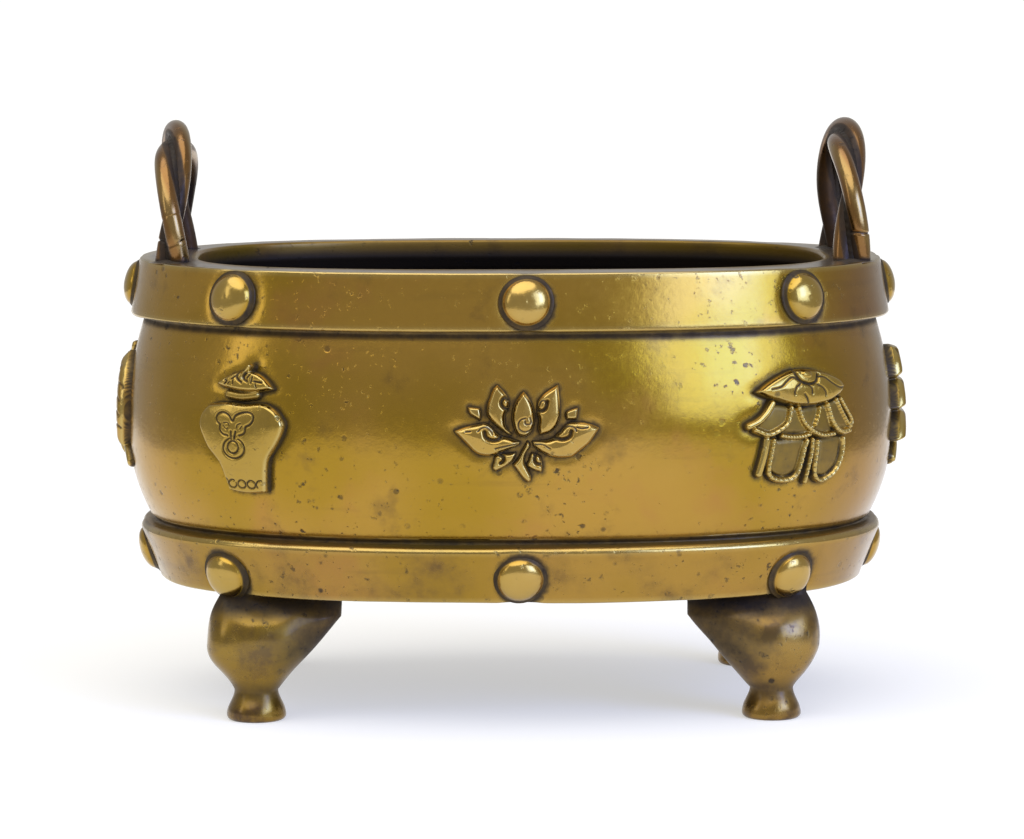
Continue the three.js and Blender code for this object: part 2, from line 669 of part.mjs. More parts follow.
// Two fish, each bent round half a circle, head to tail, with a pearl between them.
function twinFish(frame) {
  const fish = (sense) => {
    const turned = ([right, up]) => [sense * right, sense * up];
    return [
      leaf(frame, turned([8.4, -11.4]), turned([3.2, 15.2]), 5.6, END_RELIEF, -4.6, 5),
      leaf(frame, turned([8, -10.6]), turned([12.6, -14.4]), 1.9, END_RELIEF * 0.5, 0, 2),
      leaf(frame, turned([7.6, -11.4]), turned([3.4, -16]), 1.9, END_RELIEF * 0.5, 0, 2),
    ];
  };
  return [...fish(1), ...fish(-1), boss(frame, [0, 0], 3, END_RELIEF)];
}

// Endless knot: two crossed pairs of strips, joined by loops at the corners.
function endlessKnot(frame) {
  const gap = 3.6;
  const reach = 7;
  const half = 1.3;
  const straights = [-gap, gap].flatMap((shift) => [
    strip(frame, [[-reach + shift, -reach - shift], [reach + shift, reach - shift]], half, RELIEF * 0.6, 2),
    strip(frame, [[-reach + shift, reach + shift], [reach + shift, -reach + shift]], half, RELIEF * 0.75, 2),
  ]);
  const loops = [[1, 1], [-1, 1], [-1, -1], [1, -1]].map(([right, up]) => {
    const end = ([x, y]) => [right * x, up * y];
    const outer = reach + gap;
    const route = [[outer, reach - gap], [outer + 1.6, outer + 1.6], [reach - gap, outer]];
    return strip(frame, route.map(end), half, RELIEF * 0.5, 3);
  });
  return [...straights, ...loops];
}

// Wheel: rim, hub and eight spokes.
function wheel(frame) {
  const rim = 12.6;
  const hub = 3.6;
  const spokes = Array.from({ length: 8 }, (_, index) => {
    const angle = (TURN * index) / 8;
    const at = (radius) => [radius * Math.cos(angle), radius * Math.sin(angle)];
    return strip(frame, [at(hub / 2), at(rim)], 1, RELIEF * 0.6, 1);
  });
  return [hoop(frame, [0, 0], rim, 1.8, RELIEF * 0.8), boss(frame, [0, 0], hub, RELIEF), ...spokes];
}

// Conch shell: a body that swells and draws out to a tip, with a curled whorl above it.
function conch(frame) {
  const body = [[9, 4.5, -2], [5, 9, -1], [0, 10, 0], [-5, 7.6, 1], [-10, 4.4, 2], [-15.5, 1.4, 3]];
  return [
    crownedForm(frame, body, RELIEF),
    crownedForm(frame, [[8, 5.4, -3], [12, 3.4, -4], [15.5, 1.2, -5]], RELIEF * 0.8, 2),
    leaf(frame, [8, 4], [11, -9], 2.2, RELIEF * 0.6, -1, 4),
  ];
}

function emblems() {
  const unit = EMBLEM_HEIGHT / DRAWN_HEIGHT;
  const at = (name, shift = 0) => {
    const distance = STATION_DISTANCES[name] + shift;
    const frame = wallFrame(distance, BELLY_MIDDLE + EMBLEM_RISE, bellyInset);
    return (right, up, out) => frame(unit * right, unit * up, out);
  };
  return [
    ...lotus(at("front", LOTUS_SHIFT)),
    ...canopy(at("frontRight", CANOPY_SHIFT)),
    ...parasol(at("rightEnd")),
    ...conch(at("backRight")),
    ...wheel(at("back")),
    ...endlessKnot(at("backLeft")),
    ...twinFish(at("leftEnd")),
    ...vase(at("frontLeft", VASE_SHIFT)),
  ];
}

// Everything was poured together, so it is one solid.
const pieces = [...studs(), ...legs(), ...handles(), ...emblems()];
const casting = pieces.reduce((whole, piece) => whole.add(piece), vessel());

const censer = new THREE.Mesh(geometryOf(casting), BRONZE);
censer.name = "censer";

const object = new THREE.Group();
object.add(censer);

export default object;
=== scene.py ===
"""Rectangular bronze censer: a bowed vessel on four feet, with studded bands, emblems in low
relief round its belly and two rope handles on its rim. One casting, with a worn olive-gold
patina. Drawing sizes are in millimetres and become metres when a mesh is made."""

import math

import bpy
import numpy as np
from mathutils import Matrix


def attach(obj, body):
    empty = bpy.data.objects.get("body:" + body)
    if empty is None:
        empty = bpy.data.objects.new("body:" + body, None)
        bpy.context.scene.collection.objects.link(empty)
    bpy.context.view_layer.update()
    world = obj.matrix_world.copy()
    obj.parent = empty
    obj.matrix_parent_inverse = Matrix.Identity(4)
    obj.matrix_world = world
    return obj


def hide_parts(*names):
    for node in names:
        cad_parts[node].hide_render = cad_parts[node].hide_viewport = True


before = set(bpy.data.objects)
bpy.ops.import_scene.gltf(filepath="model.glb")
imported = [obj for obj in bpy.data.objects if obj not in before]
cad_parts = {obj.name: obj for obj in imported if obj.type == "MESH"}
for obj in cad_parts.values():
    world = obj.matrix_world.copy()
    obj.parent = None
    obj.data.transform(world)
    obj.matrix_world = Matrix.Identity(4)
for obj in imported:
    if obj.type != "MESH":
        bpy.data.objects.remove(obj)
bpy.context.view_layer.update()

MM = 0.001
TURN = 2 * math.pi
QUARTER = math.pi / 2

# Plan and heights of the vessel
BAND_HALF_LENGTH = 106.0
BAND_HALF_DEPTH = 72.0
PLAN_EXPONENT = 2.35
OPENING_HALF_LENGTH = 87.0
OPENING_HALF_DEPTH = 57.6
OPENING_EXPONENT = 2.9
RIM_HEIGHT = 123.7
UPPER_BAND_HEIGHT = 15.8
UPPER_BAND_TOP_INSET = 2.7
BAND_EDGE_ROUND = 0.8
LIP_THICKNESS = 5.4
LIP_UNDERSIDE_SLOPE = 2.7
NECK_GROOVE_INSET = 4.0
NECK_GROOVE_HEIGHT = 2.0
BELLY_SWELL = 0.9
BELLY_TOP_DROP = 4.4
BELLY_BOTTOM_DROP = 5.8
BELLY_TOP_POWER = 1.9
BELLY_BOTTOM_POWER = 2.4
WALL = 5.0
UNDERSIDE_HEIGHT = 34.4
LOWER_BAND_HEIGHT = 16.0
LOWER_BAND_TOP_INSET = 2.2
LOWER_BAND_FOOT_INSET = 7.4
SHOULDER_ROUND = 2.0
GROOVE_INSET = 6.4
GROOVE_HEIGHT = 1.8
FLOOR_THICKNESS = 6.0
FLOOR_CORNER = 14.0
BAND_BOTTOM = RIM_HEIGHT - UPPER_BAND_HEIGHT
LOWER_BAND_TOP = UNDERSIDE_HEIGHT + LOWER_BAND_HEIGHT
BELLY_TOP = BAND_BOTTOM - NECK_GROOVE_HEIGHT
BELLY_BOTTOM = LOWER_BAND_TOP + GROOVE_HEIGHT
BELLY_MIDDLE = (BELLY_TOP + BELLY_BOTTOM) / 2
BELLY_HALF_HEIGHT = (BELLY_TOP - BELLY_BOTTOM) / 2
FLOOR_HEIGHT = UNDERSIDE_HEIGHT + FLOOR_THICKNESS

# Studs
STUD_RADIUS = 6.2
STUD_HEIGHT = 3.5
STUD_FILLET = 1.1
STUD_FOOT_HEIGHT = 0.7
STUD_ROOT = 1.5
CORNER_STATION = 63.5
LOWER_CORNER_STUD_DROP = 2.6
LOWER_STUD_DROP = 1.0
UPPER_STUD_SHIFTS = {"front": 2.5, "front_left": 1.8}
LOWER_STUD_SHIFTS = {"front": 1.0, "front_left": -5.2, "front_right": 0.9}

# Legs and feet
FOOT_X = BAND_HALF_LENGTH - LOWER_BAND_FOOT_INSET - 28.3
FOOT_Y = BAND_HALF_DEPTH - LOWER_BAND_FOOT_INSET - 20.6
FOOT_RADIUS = 8.1
SOLE_ROUND = 1.4
ANKLE_RADIUS = 6.0
ANKLE_HEIGHT = 0.24 * UNDERSIDE_HEIGHT
KNEE_HEIGHT = 0.6 * UNDERSIDE_HEIGHT
HIP_CORNER_HEIGHT = 0.82 * UNDERSIDE_HEIGHT
KNEE_OUT = 13.5
KNEE_FRONT = 10.4
HIP_OUT = 9.4
HIP_FRONT = 3.4
HIP_SPREAD_X = 23.3
HIP_SPREAD_Y = 14.0
LEG_ROOT = 2.0

# Rope handles
HANDLE_HALF_SPAN = 26.0
RIGHT_HANDLE_HEIGHT = 38.5
LEFT_HANDLE_HEIGHT = 37.7
HANDLE_RIM_SHARE = 0.62
STRAND_RADIUS = 2.85
STRAND_ORBIT = 2.45
STRAND_UNEVENNESS = 0.14
ROPE_CORE_RADIUS = 2.1
STRANDS = 2
ROPE_PITCH = 73.0
ROPE_ROOT = 2.0
RIGHT_ROPE_START = math.pi / 22
LEFT_ROPE_START = -math.pi / 7.5

# Cracks in the handles, each (strand, distance along it, depth), and the handles' back half,
# dimmed with painted shade
CRACK_REACH = 0.26
CRACK_DIRT_REACH = 0.3
RIGHT_CRACKS = [(0, 9.6, 0.55)]
LEFT_CRACKS = [(1, 6.6, 0.55), (0, 13.6, 0.12), (0, 7.1, 0.12)]
DIM_FROM_SHARE = 0.6
DIM_TO_SHARE = 0.78

# Mounds where the handles run into the rim
MOUND_RADIUS = 6.7
MOUND_HEIGHT = 1.1
MOUND_ROOT = 0.3

# Unevenness of the casting: amount, longest and shortest wave, count of waves and draw
WALL_WAVES = [(0.13, 90, 38, 9, 3), (0.035, 26, 12, 9, 5)]
WALL_SETBACK = 0.12
LEG_WAVES = (0.22, 22, 9, 10, 31)
LEG_SETBACK = 0.05

# Dirt, a painted shadow beside each stud, and the hollow of the wall round each emblem and stud
HOLLOW_DEPTH = 0.35
HOLLOW_REACH = 1.7
FAR_GAP = 20
STUD_DIRT_WIDTH = 0.7
STUD_SHADOW_LEAN = 0.45
GROOVE_DIRT = (LOWER_BAND_TOP + 0.9, 1.15)
NECK_DIRT = (BAND_BOTTOM - 1.2, 1.35)
EDGE_REACH = 0.9
EDGE_WEAR = 0.6
RED_FROM_X = 74
RED_TO_X = 96

# Relief
EMBLEM_HEIGHT = BELLY_MIDDLE + 2.8
RELIEF = 3.0
LOTUS_RELIEF = 2.4
END_RELIEF = 3.5
PARASOL_RELIEF = 4.5
SUNK = 0.6
BACKING = 1.2
FRONT_PITCH = 0.19
HIDDEN_PITCH = 0.32
MARGIN = 4.0

# Camera at the photograph's view
FRAME_WIDTH = 1024
FOCAL_PIXELS = 4283.4
CAMERA_DISTANCE = 1198.0
CAMERA_HEIGHT = 208.6
CAMERA_SIDE = 0.5
CAMERA_YAW = math.radians(1.5)
CAMERA_PITCH = math.atan(470.5 / FOCAL_PIXELS)
SENSOR = 36.0


def place_camera():
    """Camera a given distance in front of the censer, turned a little to its left, looking down."""
    data = bpy.data.cameras.new("photo_view")
    data.sensor_width = SENSOR
    data.lens = SENSOR * FOCAL_PIXELS / FRAME_WIDTH
    data.clip_start = 0.05
    data.clip_end = 60
    camera = bpy.data.objects.new("photo_view", data)
    bpy.context.scene.collection.objects.link(camera)
    side, back = CAMERA_SIDE, -CAMERA_DISTANCE
    c, s = math.cos(-CAMERA_YAW), math.sin(-CAMERA_YAW)
    camera.location = (MM * (c * side - s * back), MM * (s * side + c * back), MM * CAMERA_HEIGHT)
    camera.rotation_euler = (QUARTER - CAMERA_PITCH, 0, -CAMERA_YAW)
    bpy.context.scene.camera = camera


place_camera()


# Smooth steps and waves


def ramp(value, low, high):
    """0 below low, 1 above high, and a smooth S between them."""
    share = np.clip((value - low) / (high - low), 0, 1)
    return share * share * (3 - 2 * share)


def mix(start, end, share):
    """Value a share of the way from start to end."""
    return start + (end - start) * share


def hump(away, reach):
    """Bell curve: 1 where away is 0 and about a third where it equals the reach."""
    return np.exp(-((away / reach) ** 2))


def waves(points, longest, shortest, count, seed):
    """Sum of plane sine waves through space with random directions and lengths, about -1 to 1."""
    draw = np.random.default_rng(seed)
    total = np.zeros(points.shape[:-1])
    for _ in range(count):
        direction = draw.normal(size=3)
        direction /= np.linalg.norm(direction)
        length = draw.uniform(shortest, longest)
        total += np.sin(points @ direction * TURN / length + draw.uniform(0, TURN))
    return total / math.sqrt(count)


# Plan curves


def plan_curve(half_length, half_depth, exponent, angle):
    """Superellipse: the cosine and sine of the angle raised to 2 over the exponent, signs kept."""
    c, s = np.cos(angle), np.sin(angle)
    x = half_length * np.sign(c) * np.abs(c) ** (2 / exponent)
    y = half_depth * np.sign(s) * np.abs(s) ** (2 / exponent)
    return np.stack([x, y], -1)


def girth_table():
    """Angles round the plan, with the distance along the band to each from the +X end."""
    angles = np.linspace(0, TURN, 24001)
    corners = plan_curve(BAND_HALF_LENGTH, BAND_HALF_DEPTH, PLAN_EXPONENT, angles)
    steps = np.linalg.norm(np.diff(corners, axis=0), axis=1)
    return angles, np.concatenate([[0], np.cumsum(steps)])


PLAN_ANGLES, PLAN_DISTANCES = girth_table()
GIRTH = PLAN_DISTANCES[-1]
STATIONS = {
    "right_end": 0.0,
    "back_right": CORNER_STATION,
    "back": GIRTH / 4,
    "back_left": GIRTH / 2 - CORNER_STATION,
    "left_end": GIRTH / 2,
    "front_left": GIRTH / 2 + CORNER_STATION,
    "front": 3 * GIRTH / 4,
    "front_right": GIRTH - CORNER_STATION,
}


def angle_at(distance):
    """Angle of the plan point at a distance along the band from the middle of its +X end."""
    return np.interp(np.mod(distance, GIRTH), PLAN_DISTANCES, PLAN_ANGLES)


def belly_inset(z):
    """Swell in the middle that drops away as a power of the height above or below it."""
    rise = (z - BELLY_MIDDLE) / BELLY_HALF_HEIGHT
    above = BELLY_TOP_DROP * np.abs(rise) ** BELLY_TOP_POWER
    below = BELLY_BOTTOM_DROP * np.abs(rise) ** BELLY_BOTTOM_POWER
    return np.where(rise > 0, above, below) - BELLY_SWELL


def lower_band_inset(z):
    """Straight slope from the foot of the band to its top."""
    rise = (z - UNDERSIDE_HEIGHT) / LOWER_BAND_HEIGHT
    return mix(LOWER_BAND_FOOT_INSET, LOWER_BAND_TOP_INSET, rise)


def upper_band_inset(z):
    """Straight slope inwards from the foot of the band to the rim."""
    return UPPER_BAND_TOP_INSET * (z - BAND_BOTTOM) / UPPER_BAND_HEIGHT


def face_point(distance, z, inset_at):
    """Point of the face that inset_at describes, at a distance along the band and a height."""
    inset = inset_at(z)
    half_length, half_depth = BAND_HALF_LENGTH - inset, BAND_HALF_DEPTH - inset
    flat = plan_curve(half_length, half_depth, PLAN_EXPONENT, angle_at(distance))
    return np.concatenate([flat, np.broadcast_to(z, flat.shape[:-1])[..., None]], -1)


def on_wall(station, height, inset_at, right, up, out):
    """Point to the right, up and out from a place on the wall, out along the wall's normal."""
    step = 0.5
    along, z = station + right, height + up
    before = face_point(along - step, z, inset_at)
    after = face_point(along + step, z, inset_at)
    upwards = face_point(along, z + step, inset_at) - face_point(along, z - step, inset_at)
    normal = np.cross(after - before, upwards)
    normal /= np.linalg.norm(normal, axis=-1, keepdims=True)
    return (before + after) / 2 + normal * np.asarray(out)[..., None]


# Meshes


def grid_faces(rows, columns, round_columns):
    """Four-cornered faces between the points of a grid, whose columns may close on themselves."""
    a = np.arange(rows * columns).reshape(rows, columns)
    if round_columns:
        a = np.concatenate([a, a[:, :1]], 1)
    return np.stack([a[:-1, :-1], a[:-1, 1:], a[1:, 1:], a[1:, :-1]], -1).reshape(-1, 4)


def capped_tube(grid):
    """Points and faces of a grid that is round in its columns, closed by a fan at each end."""
    rows, columns = grid.shape[:2]
    points = np.concatenate([grid.reshape(-1, 3), [grid[0].mean(0)], [grid[-1].mean(0)]])
    faces = grid_faces(rows, columns, True).tolist()
    first, last = rows * columns, rows * columns + 1
    for side in range(columns):
        following = (side + 1) % columns
        top = (rows - 1) * columns
        faces.append([first, following, side])
        faces.append([last, top + side, top + following])
    return points, faces


def capped(values):
    """The values of a grid's points, with those of the two fan centres after them."""
    return np.concatenate([values.reshape(-1), [values[0].mean(), values[-1].mean()]])


def join_parts(parts):
    """One list of points, faces and named values from several (points, faces, values) parts."""
    points, faces, values, start = [], [], {}, 0
    for part_points, part_faces, part_values in parts:
        points.append(part_points)
        faces += [[corner + start for corner in face] for face in part_faces]
        for name, value in part_values.items():
            values.setdefault(name, []).append(value)
        start += len(part_points)
    joined = {name: np.concatenate(lists) for name, lists in values.items()}
    return np.concatenate(points), faces, joined


def make_piece(name, points, faces, values, finish):
    """Smooth mesh in metres that stands for the casting, with its named values for the finish."""
    mesh = bpy.data.meshes.new(name)
    mesh.from_pydata((points * MM).tolist(), [], faces)
    mesh.polygons.foreach_set("use_smooth", np.ones(len(mesh.polygons), bool))
    for key, value in values.items():
        attribute = mesh.attributes.new(key, "FLOAT", "POINT")
        attribute.data.foreach_set("value", np.asarray(value, np.float32))
    mesh.materials.append(finish)
    piece = bpy.data.objects.new(name, mesh)
    bpy.context.scene.collection.objects.link(piece)
    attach(piece, "root")
    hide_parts("censer")
    return piece


# Drawing


def smooth_line(points, steps=7):
    """Catmull-Rom curve through the points, with its ends free."""
    given = np.asarray(points, float)
    if len(given) == 2:
        return np.linspace(given[0], given[1], steps + 1)
    held = np.concatenate([[2 * given[0] - given[1]], given, [2 * given[-1] - given[-2]]])
    before, start, end, after = held[:-3, None], held[1:-2, None], held[2:-1, None], held[3:, None]
    t = np.linspace(0, 1, steps, endpoint=False)[None, :, None]
    line = 0.5 * (
        2 * start
        + (end - before) * t
        + (2 * before - 5 * start + 4 * end - after) * t**2
        + (3 * start - before - 3 * end + after) * t**3
    )
    return np.concatenate([line.reshape(-1, 2), given[-1:]])


def outline(*sides):
    """Closed outline from smooth sides that meet at corners: each starts where the last ended."""
    corners = [side[0] for side in sides]
    ends = corners[1:] + corners[:1]
    return np.concatenate([smooth_line([*side, end])[:-1] for side, end in zip(sides, ends)])


def oval(centre, half_width, half_height, tilt=0.0, start=0.0, end=TURN, steps=40):
    """Ellipse, or an arc of one, with its long axis tilted."""
    angle = np.linspace(start, end, steps)
    x, y = half_width * np.cos(angle), half_height * np.sin(angle)
    c, s = math.cos(tilt), math.sin(tilt)
    return np.stack([centre[0] + c * x - s * y, centre[1] + s * x + c * y], -1)


def line_distance(line, right, up):
    """Distance from every point of a grid to the nearest piece of a line of points."""
    nearest = np.full(right.shape, 1e9)
    for (x0, y0), (x1, y1) in zip(line[:-1], line[1:]):
        dx, dy = x1 - x0, y1 - y0
        length = max(dx * dx + dy * dy, 1e-12)
        share = np.clip(((right - x0) * dx + (up - y0) * dy) / length, 0, 1)
        nearest = np.minimum(nearest, np.hypot(right - x0 - share * dx, up - y0 - share * dy))
    return nearest


def depth_inside(corners, right, up):
    """Distance to a closed outline, above 0 inside it: a point is inside if a ray from it to the
    right crosses the outline an odd number of times."""
    closed = np.concatenate([corners, corners[:1]])
    inside = np.zeros(right.shape, bool)
    for (x0, y0), (x1, y1) in zip(closed[:-1], closed[1:]):
        if y0 != y1:
            crossing = x0 + (up - y0) * (x1 - x0) / (y1 - y0)
            inside ^= ((y0 > up) != (y1 > up)) & (right < crossing)
    return np.where(inside, 1, -1) * line_distance(closed, right, up)


class Relief:
    """Emblem in low relief: heights over the wall on a grid of (right, up) points round a place
    on the belly. Shapes are raised, the highest winning, and lines are cut into them."""

    SIDE = 0.4
    STROKE_HALF_WIDTH = 0.17
    STROKE_CUT = 0.16

    def __init__(self, name, station, width, height, pitch, relief=RELIEF, centre=(0, 0)):
        self.name, self.station, self.relief = name, station, relief
        reach_x, reach_y = width / 2 + MARGIN, height / 2 + MARGIN
        x = np.arange(-reach_x, reach_x, pitch) + centre[0]
        y = np.arange(-reach_y, reach_y, pitch) + centre[1]
        self.x, self.y = x, y
        self.right, self.up = np.meshgrid(x, y)
        self.height = np.full(self.right.shape, -SUNK)
        self.depth = np.full(self.right.shape, -99.0)
        self.cut = np.zeros(self.right.shape)
        self.ground = np.zeros(self.right.shape)

    def raise_depth(self, depth, share, edge, crown=0.0, low=0.0):
        """Steep side, then a quarter-round edge up to a share of the relief, then a soft crown."""
        foot = 0.5 * share * self.relief
        top = share * self.relief
        side = -SUNK + (foot + SUNK) * ramp(depth, -self.SIDE, 0)
        roll = np.sin(np.clip(depth / edge, 0, 1) * QUARTER)
        inner = np.clip(depth, 0, None)
        face = foot + (top - foot) * roll + crown * (1 - np.exp(-inner / 2.5))
        height = np.where(depth < 0, side, face)
        wins = (height > self.height) & (depth > -self.SIDE)
        self.cut = np.where(wins, 0, self.cut)
        self.ground = np.where(wins, low, self.ground)
        self.height = np.maximum(self.height, height)
        self.depth = np.maximum(self.depth, depth)

    def shape(self, corners, share=1.0, edge=1.0, crown=0.0, low=0.0):
        """Raises a closed outline."""
        self.raise_depth(depth_inside(corners, self.right, self.up), share, edge, crown, low)

    def band(self, line, half_width, share=0.7, edge=0.8, low=0.0):
        """Raises a band of one width along a line."""
        depth = half_width - line_distance(line, self.right, self.up)
        self.raise_depth(depth, share, edge, 0.0, low)

    def engrave(self, line, half_width, cut):
        """Cuts a round-bottomed line."""
        distance = line_distance(line, self.right, self.up)
        groove = hump(distance, half_width)
        self.height = np.where(self.depth > 0, self.height - cut * groove, self.height)
        self.cut = np.maximum(self.cut, groove * min(1, cut / 0.3))

    def hatch(self, line, half_width, spacing):
        """Cuts short strokes across a band, evenly along its line."""
        lengths = np.concatenate([[0], np.cumsum(np.linalg.norm(np.diff(line, axis=0), axis=1))])
        for at in np.arange(spacing / 2, lengths[-1] - spacing / 3, spacing):
            point = [np.interp(at, lengths, line[:, axis]) for axis in (0, 1)]
            ahead = [np.interp(at + 0.2, lengths, line[:, axis]) for axis in (0, 1)]
            behind = [np.interp(at - 0.2, lengths, line[:, axis]) for axis in (0, 1)]
            along = np.subtract(ahead, behind)
            across = np.array([-along[1], along[0]]) / np.linalg.norm(along) * half_width
            stroke = np.array([point - across * 0.9, point + across * 0.55])
            self.engrave(stroke, self.STROKE_HALF_WIDTH, self.STROKE_CUT)

    def points(self, out):
        """Points of the grid in space, out from the wall."""
        place = STATIONS[self.station], EMBLEM_HEIGHT
        return on_wall(*place, belly_inset, self.right, self.up, out)

    def shade(self, distance, z):
        """Depth inside the emblem's outline at places on the wall, found between grid points."""
        right = np.mod(distance - STATIONS[self.station] + GIRTH / 2, GIRTH) - GIRTH / 2
        up = z - EMBLEM_HEIGHT
        column = (right - self.x[0]) / (self.x[1] - self.x[0])
        row = (up - self.y[0]) / (self.y[1] - self.y[0])
        within = (column >= 0) & (row >= 0)
        within &= (column < len(self.x) - 1) & (row < len(self.y) - 1)
        c, r = np.where(within, column, 0), np.where(within, row, 0)
        c0, r0 = c.astype(int), r.astype(int)
        fc, fr = c - c0, r - r0
        low = mix(self.depth[r0, c0], self.depth[r0, c0 + 1], fc)
        high = mix(self.depth[r0 + 1, c0], self.depth[r0 + 1, c0 + 1], fc)
        return np.where(within, mix(low, high, fr), -99.0)

    def solid(self):
        """Closed shell: the raised part of the grid, a backing sheet under it and a rim wall."""
        live = self.height > -SUNK + 0.01
        keep = live[:-1, :-1] | live[:-1, 1:] | live[1:, 1:] | live[1:, :-1]
        rows, columns = self.right.shape
        faces = grid_faces(rows, columns, False)[keep.reshape(-1)]
        edges = np.concatenate([faces[:, [i, (i + 1) % 4]] for i in range(4)])
        keys = {tuple(edge) for edge in edges.tolist()}
        rim = np.array([edge for edge in keys if edge[::-1] not in keys])
        used = np.unique(faces)
        number = np.full(rows * columns, -1)
        number[used] = np.arange(len(used))
        front = self.points(self.height).reshape(-1, 3)[used]
        back = self.points(np.full(self.right.shape, -BACKING)).reshape(-1, 3)[used]
        faces, rim, count = number[faces], number[rim], len(used)
        wall = np.stack([rim[:, 1], rim[:, 0], rim[:, 0] + count, rim[:, 1] + count], -1)
        every = np.concatenate([faces, faces[:, ::-1] + count, wall])
        depth = self.depth.reshape(-1)[used]
        groove = np.clip(self.cut.reshape(-1)[used] * 1.15, 0, 1)
        side = 1 - ramp(depth, -0.15, 0.22)
        low = self.ground.reshape(-1)[used]
        recess = np.maximum.reduce([groove, side, low])
        worn = ramp(depth, 0.0, 0.35) * (1 - recess) * 0.3
        bright = hump(depth - 0.45, 0.35) * (1 - low)
        worn = np.clip(worn + 0.6 * bright, 0, 1)
        back_values = np.zeros(count)
        values = {
            "recess": np.concatenate([recess, back_values + 1]),
            "worn": np.concatenate([worn, back_values]),
        }
        return np.concatenate([front, back]), every.tolist(), values


# The emblems at the front, each in millimetres right and up from its place on the belly


def vase():
    """Covered vase: a lid with a leaning flame, a short neck and a body that narrows below."""
    r = Relief("emblem_vase", "front_left", 27, 35, FRONT_PITCH, centre=(7.2, -1))
    r.band(smooth_line([(2.6, 8.3), (6.6, 7.9), (10.8, 8.4)]), 1.1, 0.5, 0.8, 0.35)
    body = outline(
        [(-2.5, 5.5), (3.0, 6.1), (7.7, 5.8), (12.4, 6.2)],
        [(14.6, 6.0), (16.8, 4.8), (18.5, 3.1), (19.6, 1.1), (19.5, -0.7), (18.6, -2.9),
         (17.3, -5.2), (15.9, -7.3), (15.0, -9.3), (14.6, -12.0)],
        [(14.0, -17.2), (9.2, -17.7), (5.6, -17.5)],
        [(2.8, -16.9), (1.6, -12.4), (0.6, -10.0), (-0.9, -8.2), (-2.8, -6.2), (-4.3, -3.6),
         (-5.5, -1.0), (-5.7, 0.8), (-5.1, 2.8), (-3.8, 4.5)],
    )
    r.shape(body, 0.8, 0.9, 0.7)
    lid = outline(
        [(-1.2, 10.8), (1.5, 12.6), (4.2, 13.8), (6.8, 14.4), (9.1, 14.4), (11.6, 13.8),
         (13.9, 12.3)],
        [(16.1, 10.1), (13.4, 9.5), (10.4, 9.2), (7.4, 9.2), (3.6, 9.6), (0.9, 10.2)],
    )
    r.shape(lid, 0.85, 0.8, 0.5)
    r.band(smooth_line([(8.9, 15.7), (8.3, 14.6), (7.2, 13.3), (7.0, 12.2)]), 0.62, 1.1, 0.6)
    flame_strokes = [
        ([(5.6, 13.8), (5.4, 12.9), (6.1, 12.0), (7.0, 11.5)], 0.34),
        ([(8.1, 13.9), (7.6, 13.0), (7.9, 12.2), (8.7, 11.8)], 0.34),
        ([(3.8, 12.1), (4.9, 12.9)], 0.22), ([(4.4, 11.8), (4.4, 10.9)], 0.22),
        ([(1.9, 12.0), (2.6, 11.5), (1.8, 10.9)], 0.2), ([(8.6, 12.6), (9.3, 13.6)], 0.2),
        ([(10.1, 12.9), (9.9, 11.3)], 0.22), ([(10.8, 11.8), (13.0, 11.6)], 0.3),
        ([(11.2, 11.1), (11.6, 10.2)], 0.2), ([(2.9, 10.9), (3.4, 11.5)], 0.16),
    ]
    for line, half_width in flame_strokes:
        r.engrave(smooth_line(line), half_width, 0.5)
    butterfly = [
        [(5.2, 1.5), (4.2, 2.8), (2.6, 3.5), (1.1, 3.2), (0.4, 2.1), (0.8, 1.0), (1.6, 0.4)],
        [(5.6, 1.5), (6.2, 2.8), (7.9, 3.6), (10.0, 3.8), (11.3, 3.1), (11.4, 1.8), (10.6, 0.7),
         (9.4, 0.1)],
        [(1.6, 0.1), (1.7, -1.1), (2.6, -2.1), (4.0, -2.4)],
        [(9.2, -0.2), (9.2, -1.2), (8.6, -1.9), (7.4, -2.3)],
        [(5.0, -1.3), (5.1, -3.4)],
        [(6.4, -1.3), (6.0, -3.2)],
    ]
    for line in butterfly:
        r.engrave(smooth_line(line), 0.3, 0.45)
    eyes = [
        [(2.7, 0.8), (4.0, 0.9), (4.6, 0.0)], [(2.7, 0.2), (3.6, -0.7), (4.2, -0.4)],
        [(6.7, -0.4), (6.9, 0.4), (7.9, 0.9)], [(7.7, -0.6), (8.3, 0.2)],
    ]
    for line in eyes:
        r.engrave(smooth_line(line), 0.17, 0.3)
    r.engrave(oval((5.8, -5.65), 3.2, 2.65, 0, 1.9, 7.4), 0.26, 0.45)
    r.engrave(oval((5.6, -5.4), 1.6, 1.6), 0.26, 0.45)
    for middle, start, end in [(4.7, 0.9, 6.6), (7.5, 0, TURN), (10.3, 0, TURN), (12.9, 1.2, 3.9)]:
        r.engrave(oval((middle, -14.9), 1.15, 1.05, 0, start, end), 0.2, 0.35)
    r.engrave(oval((2.5, -14.6), 0.8, 1.0, 0, -1.2, 1.4), 0.17, 0.3)
    return r


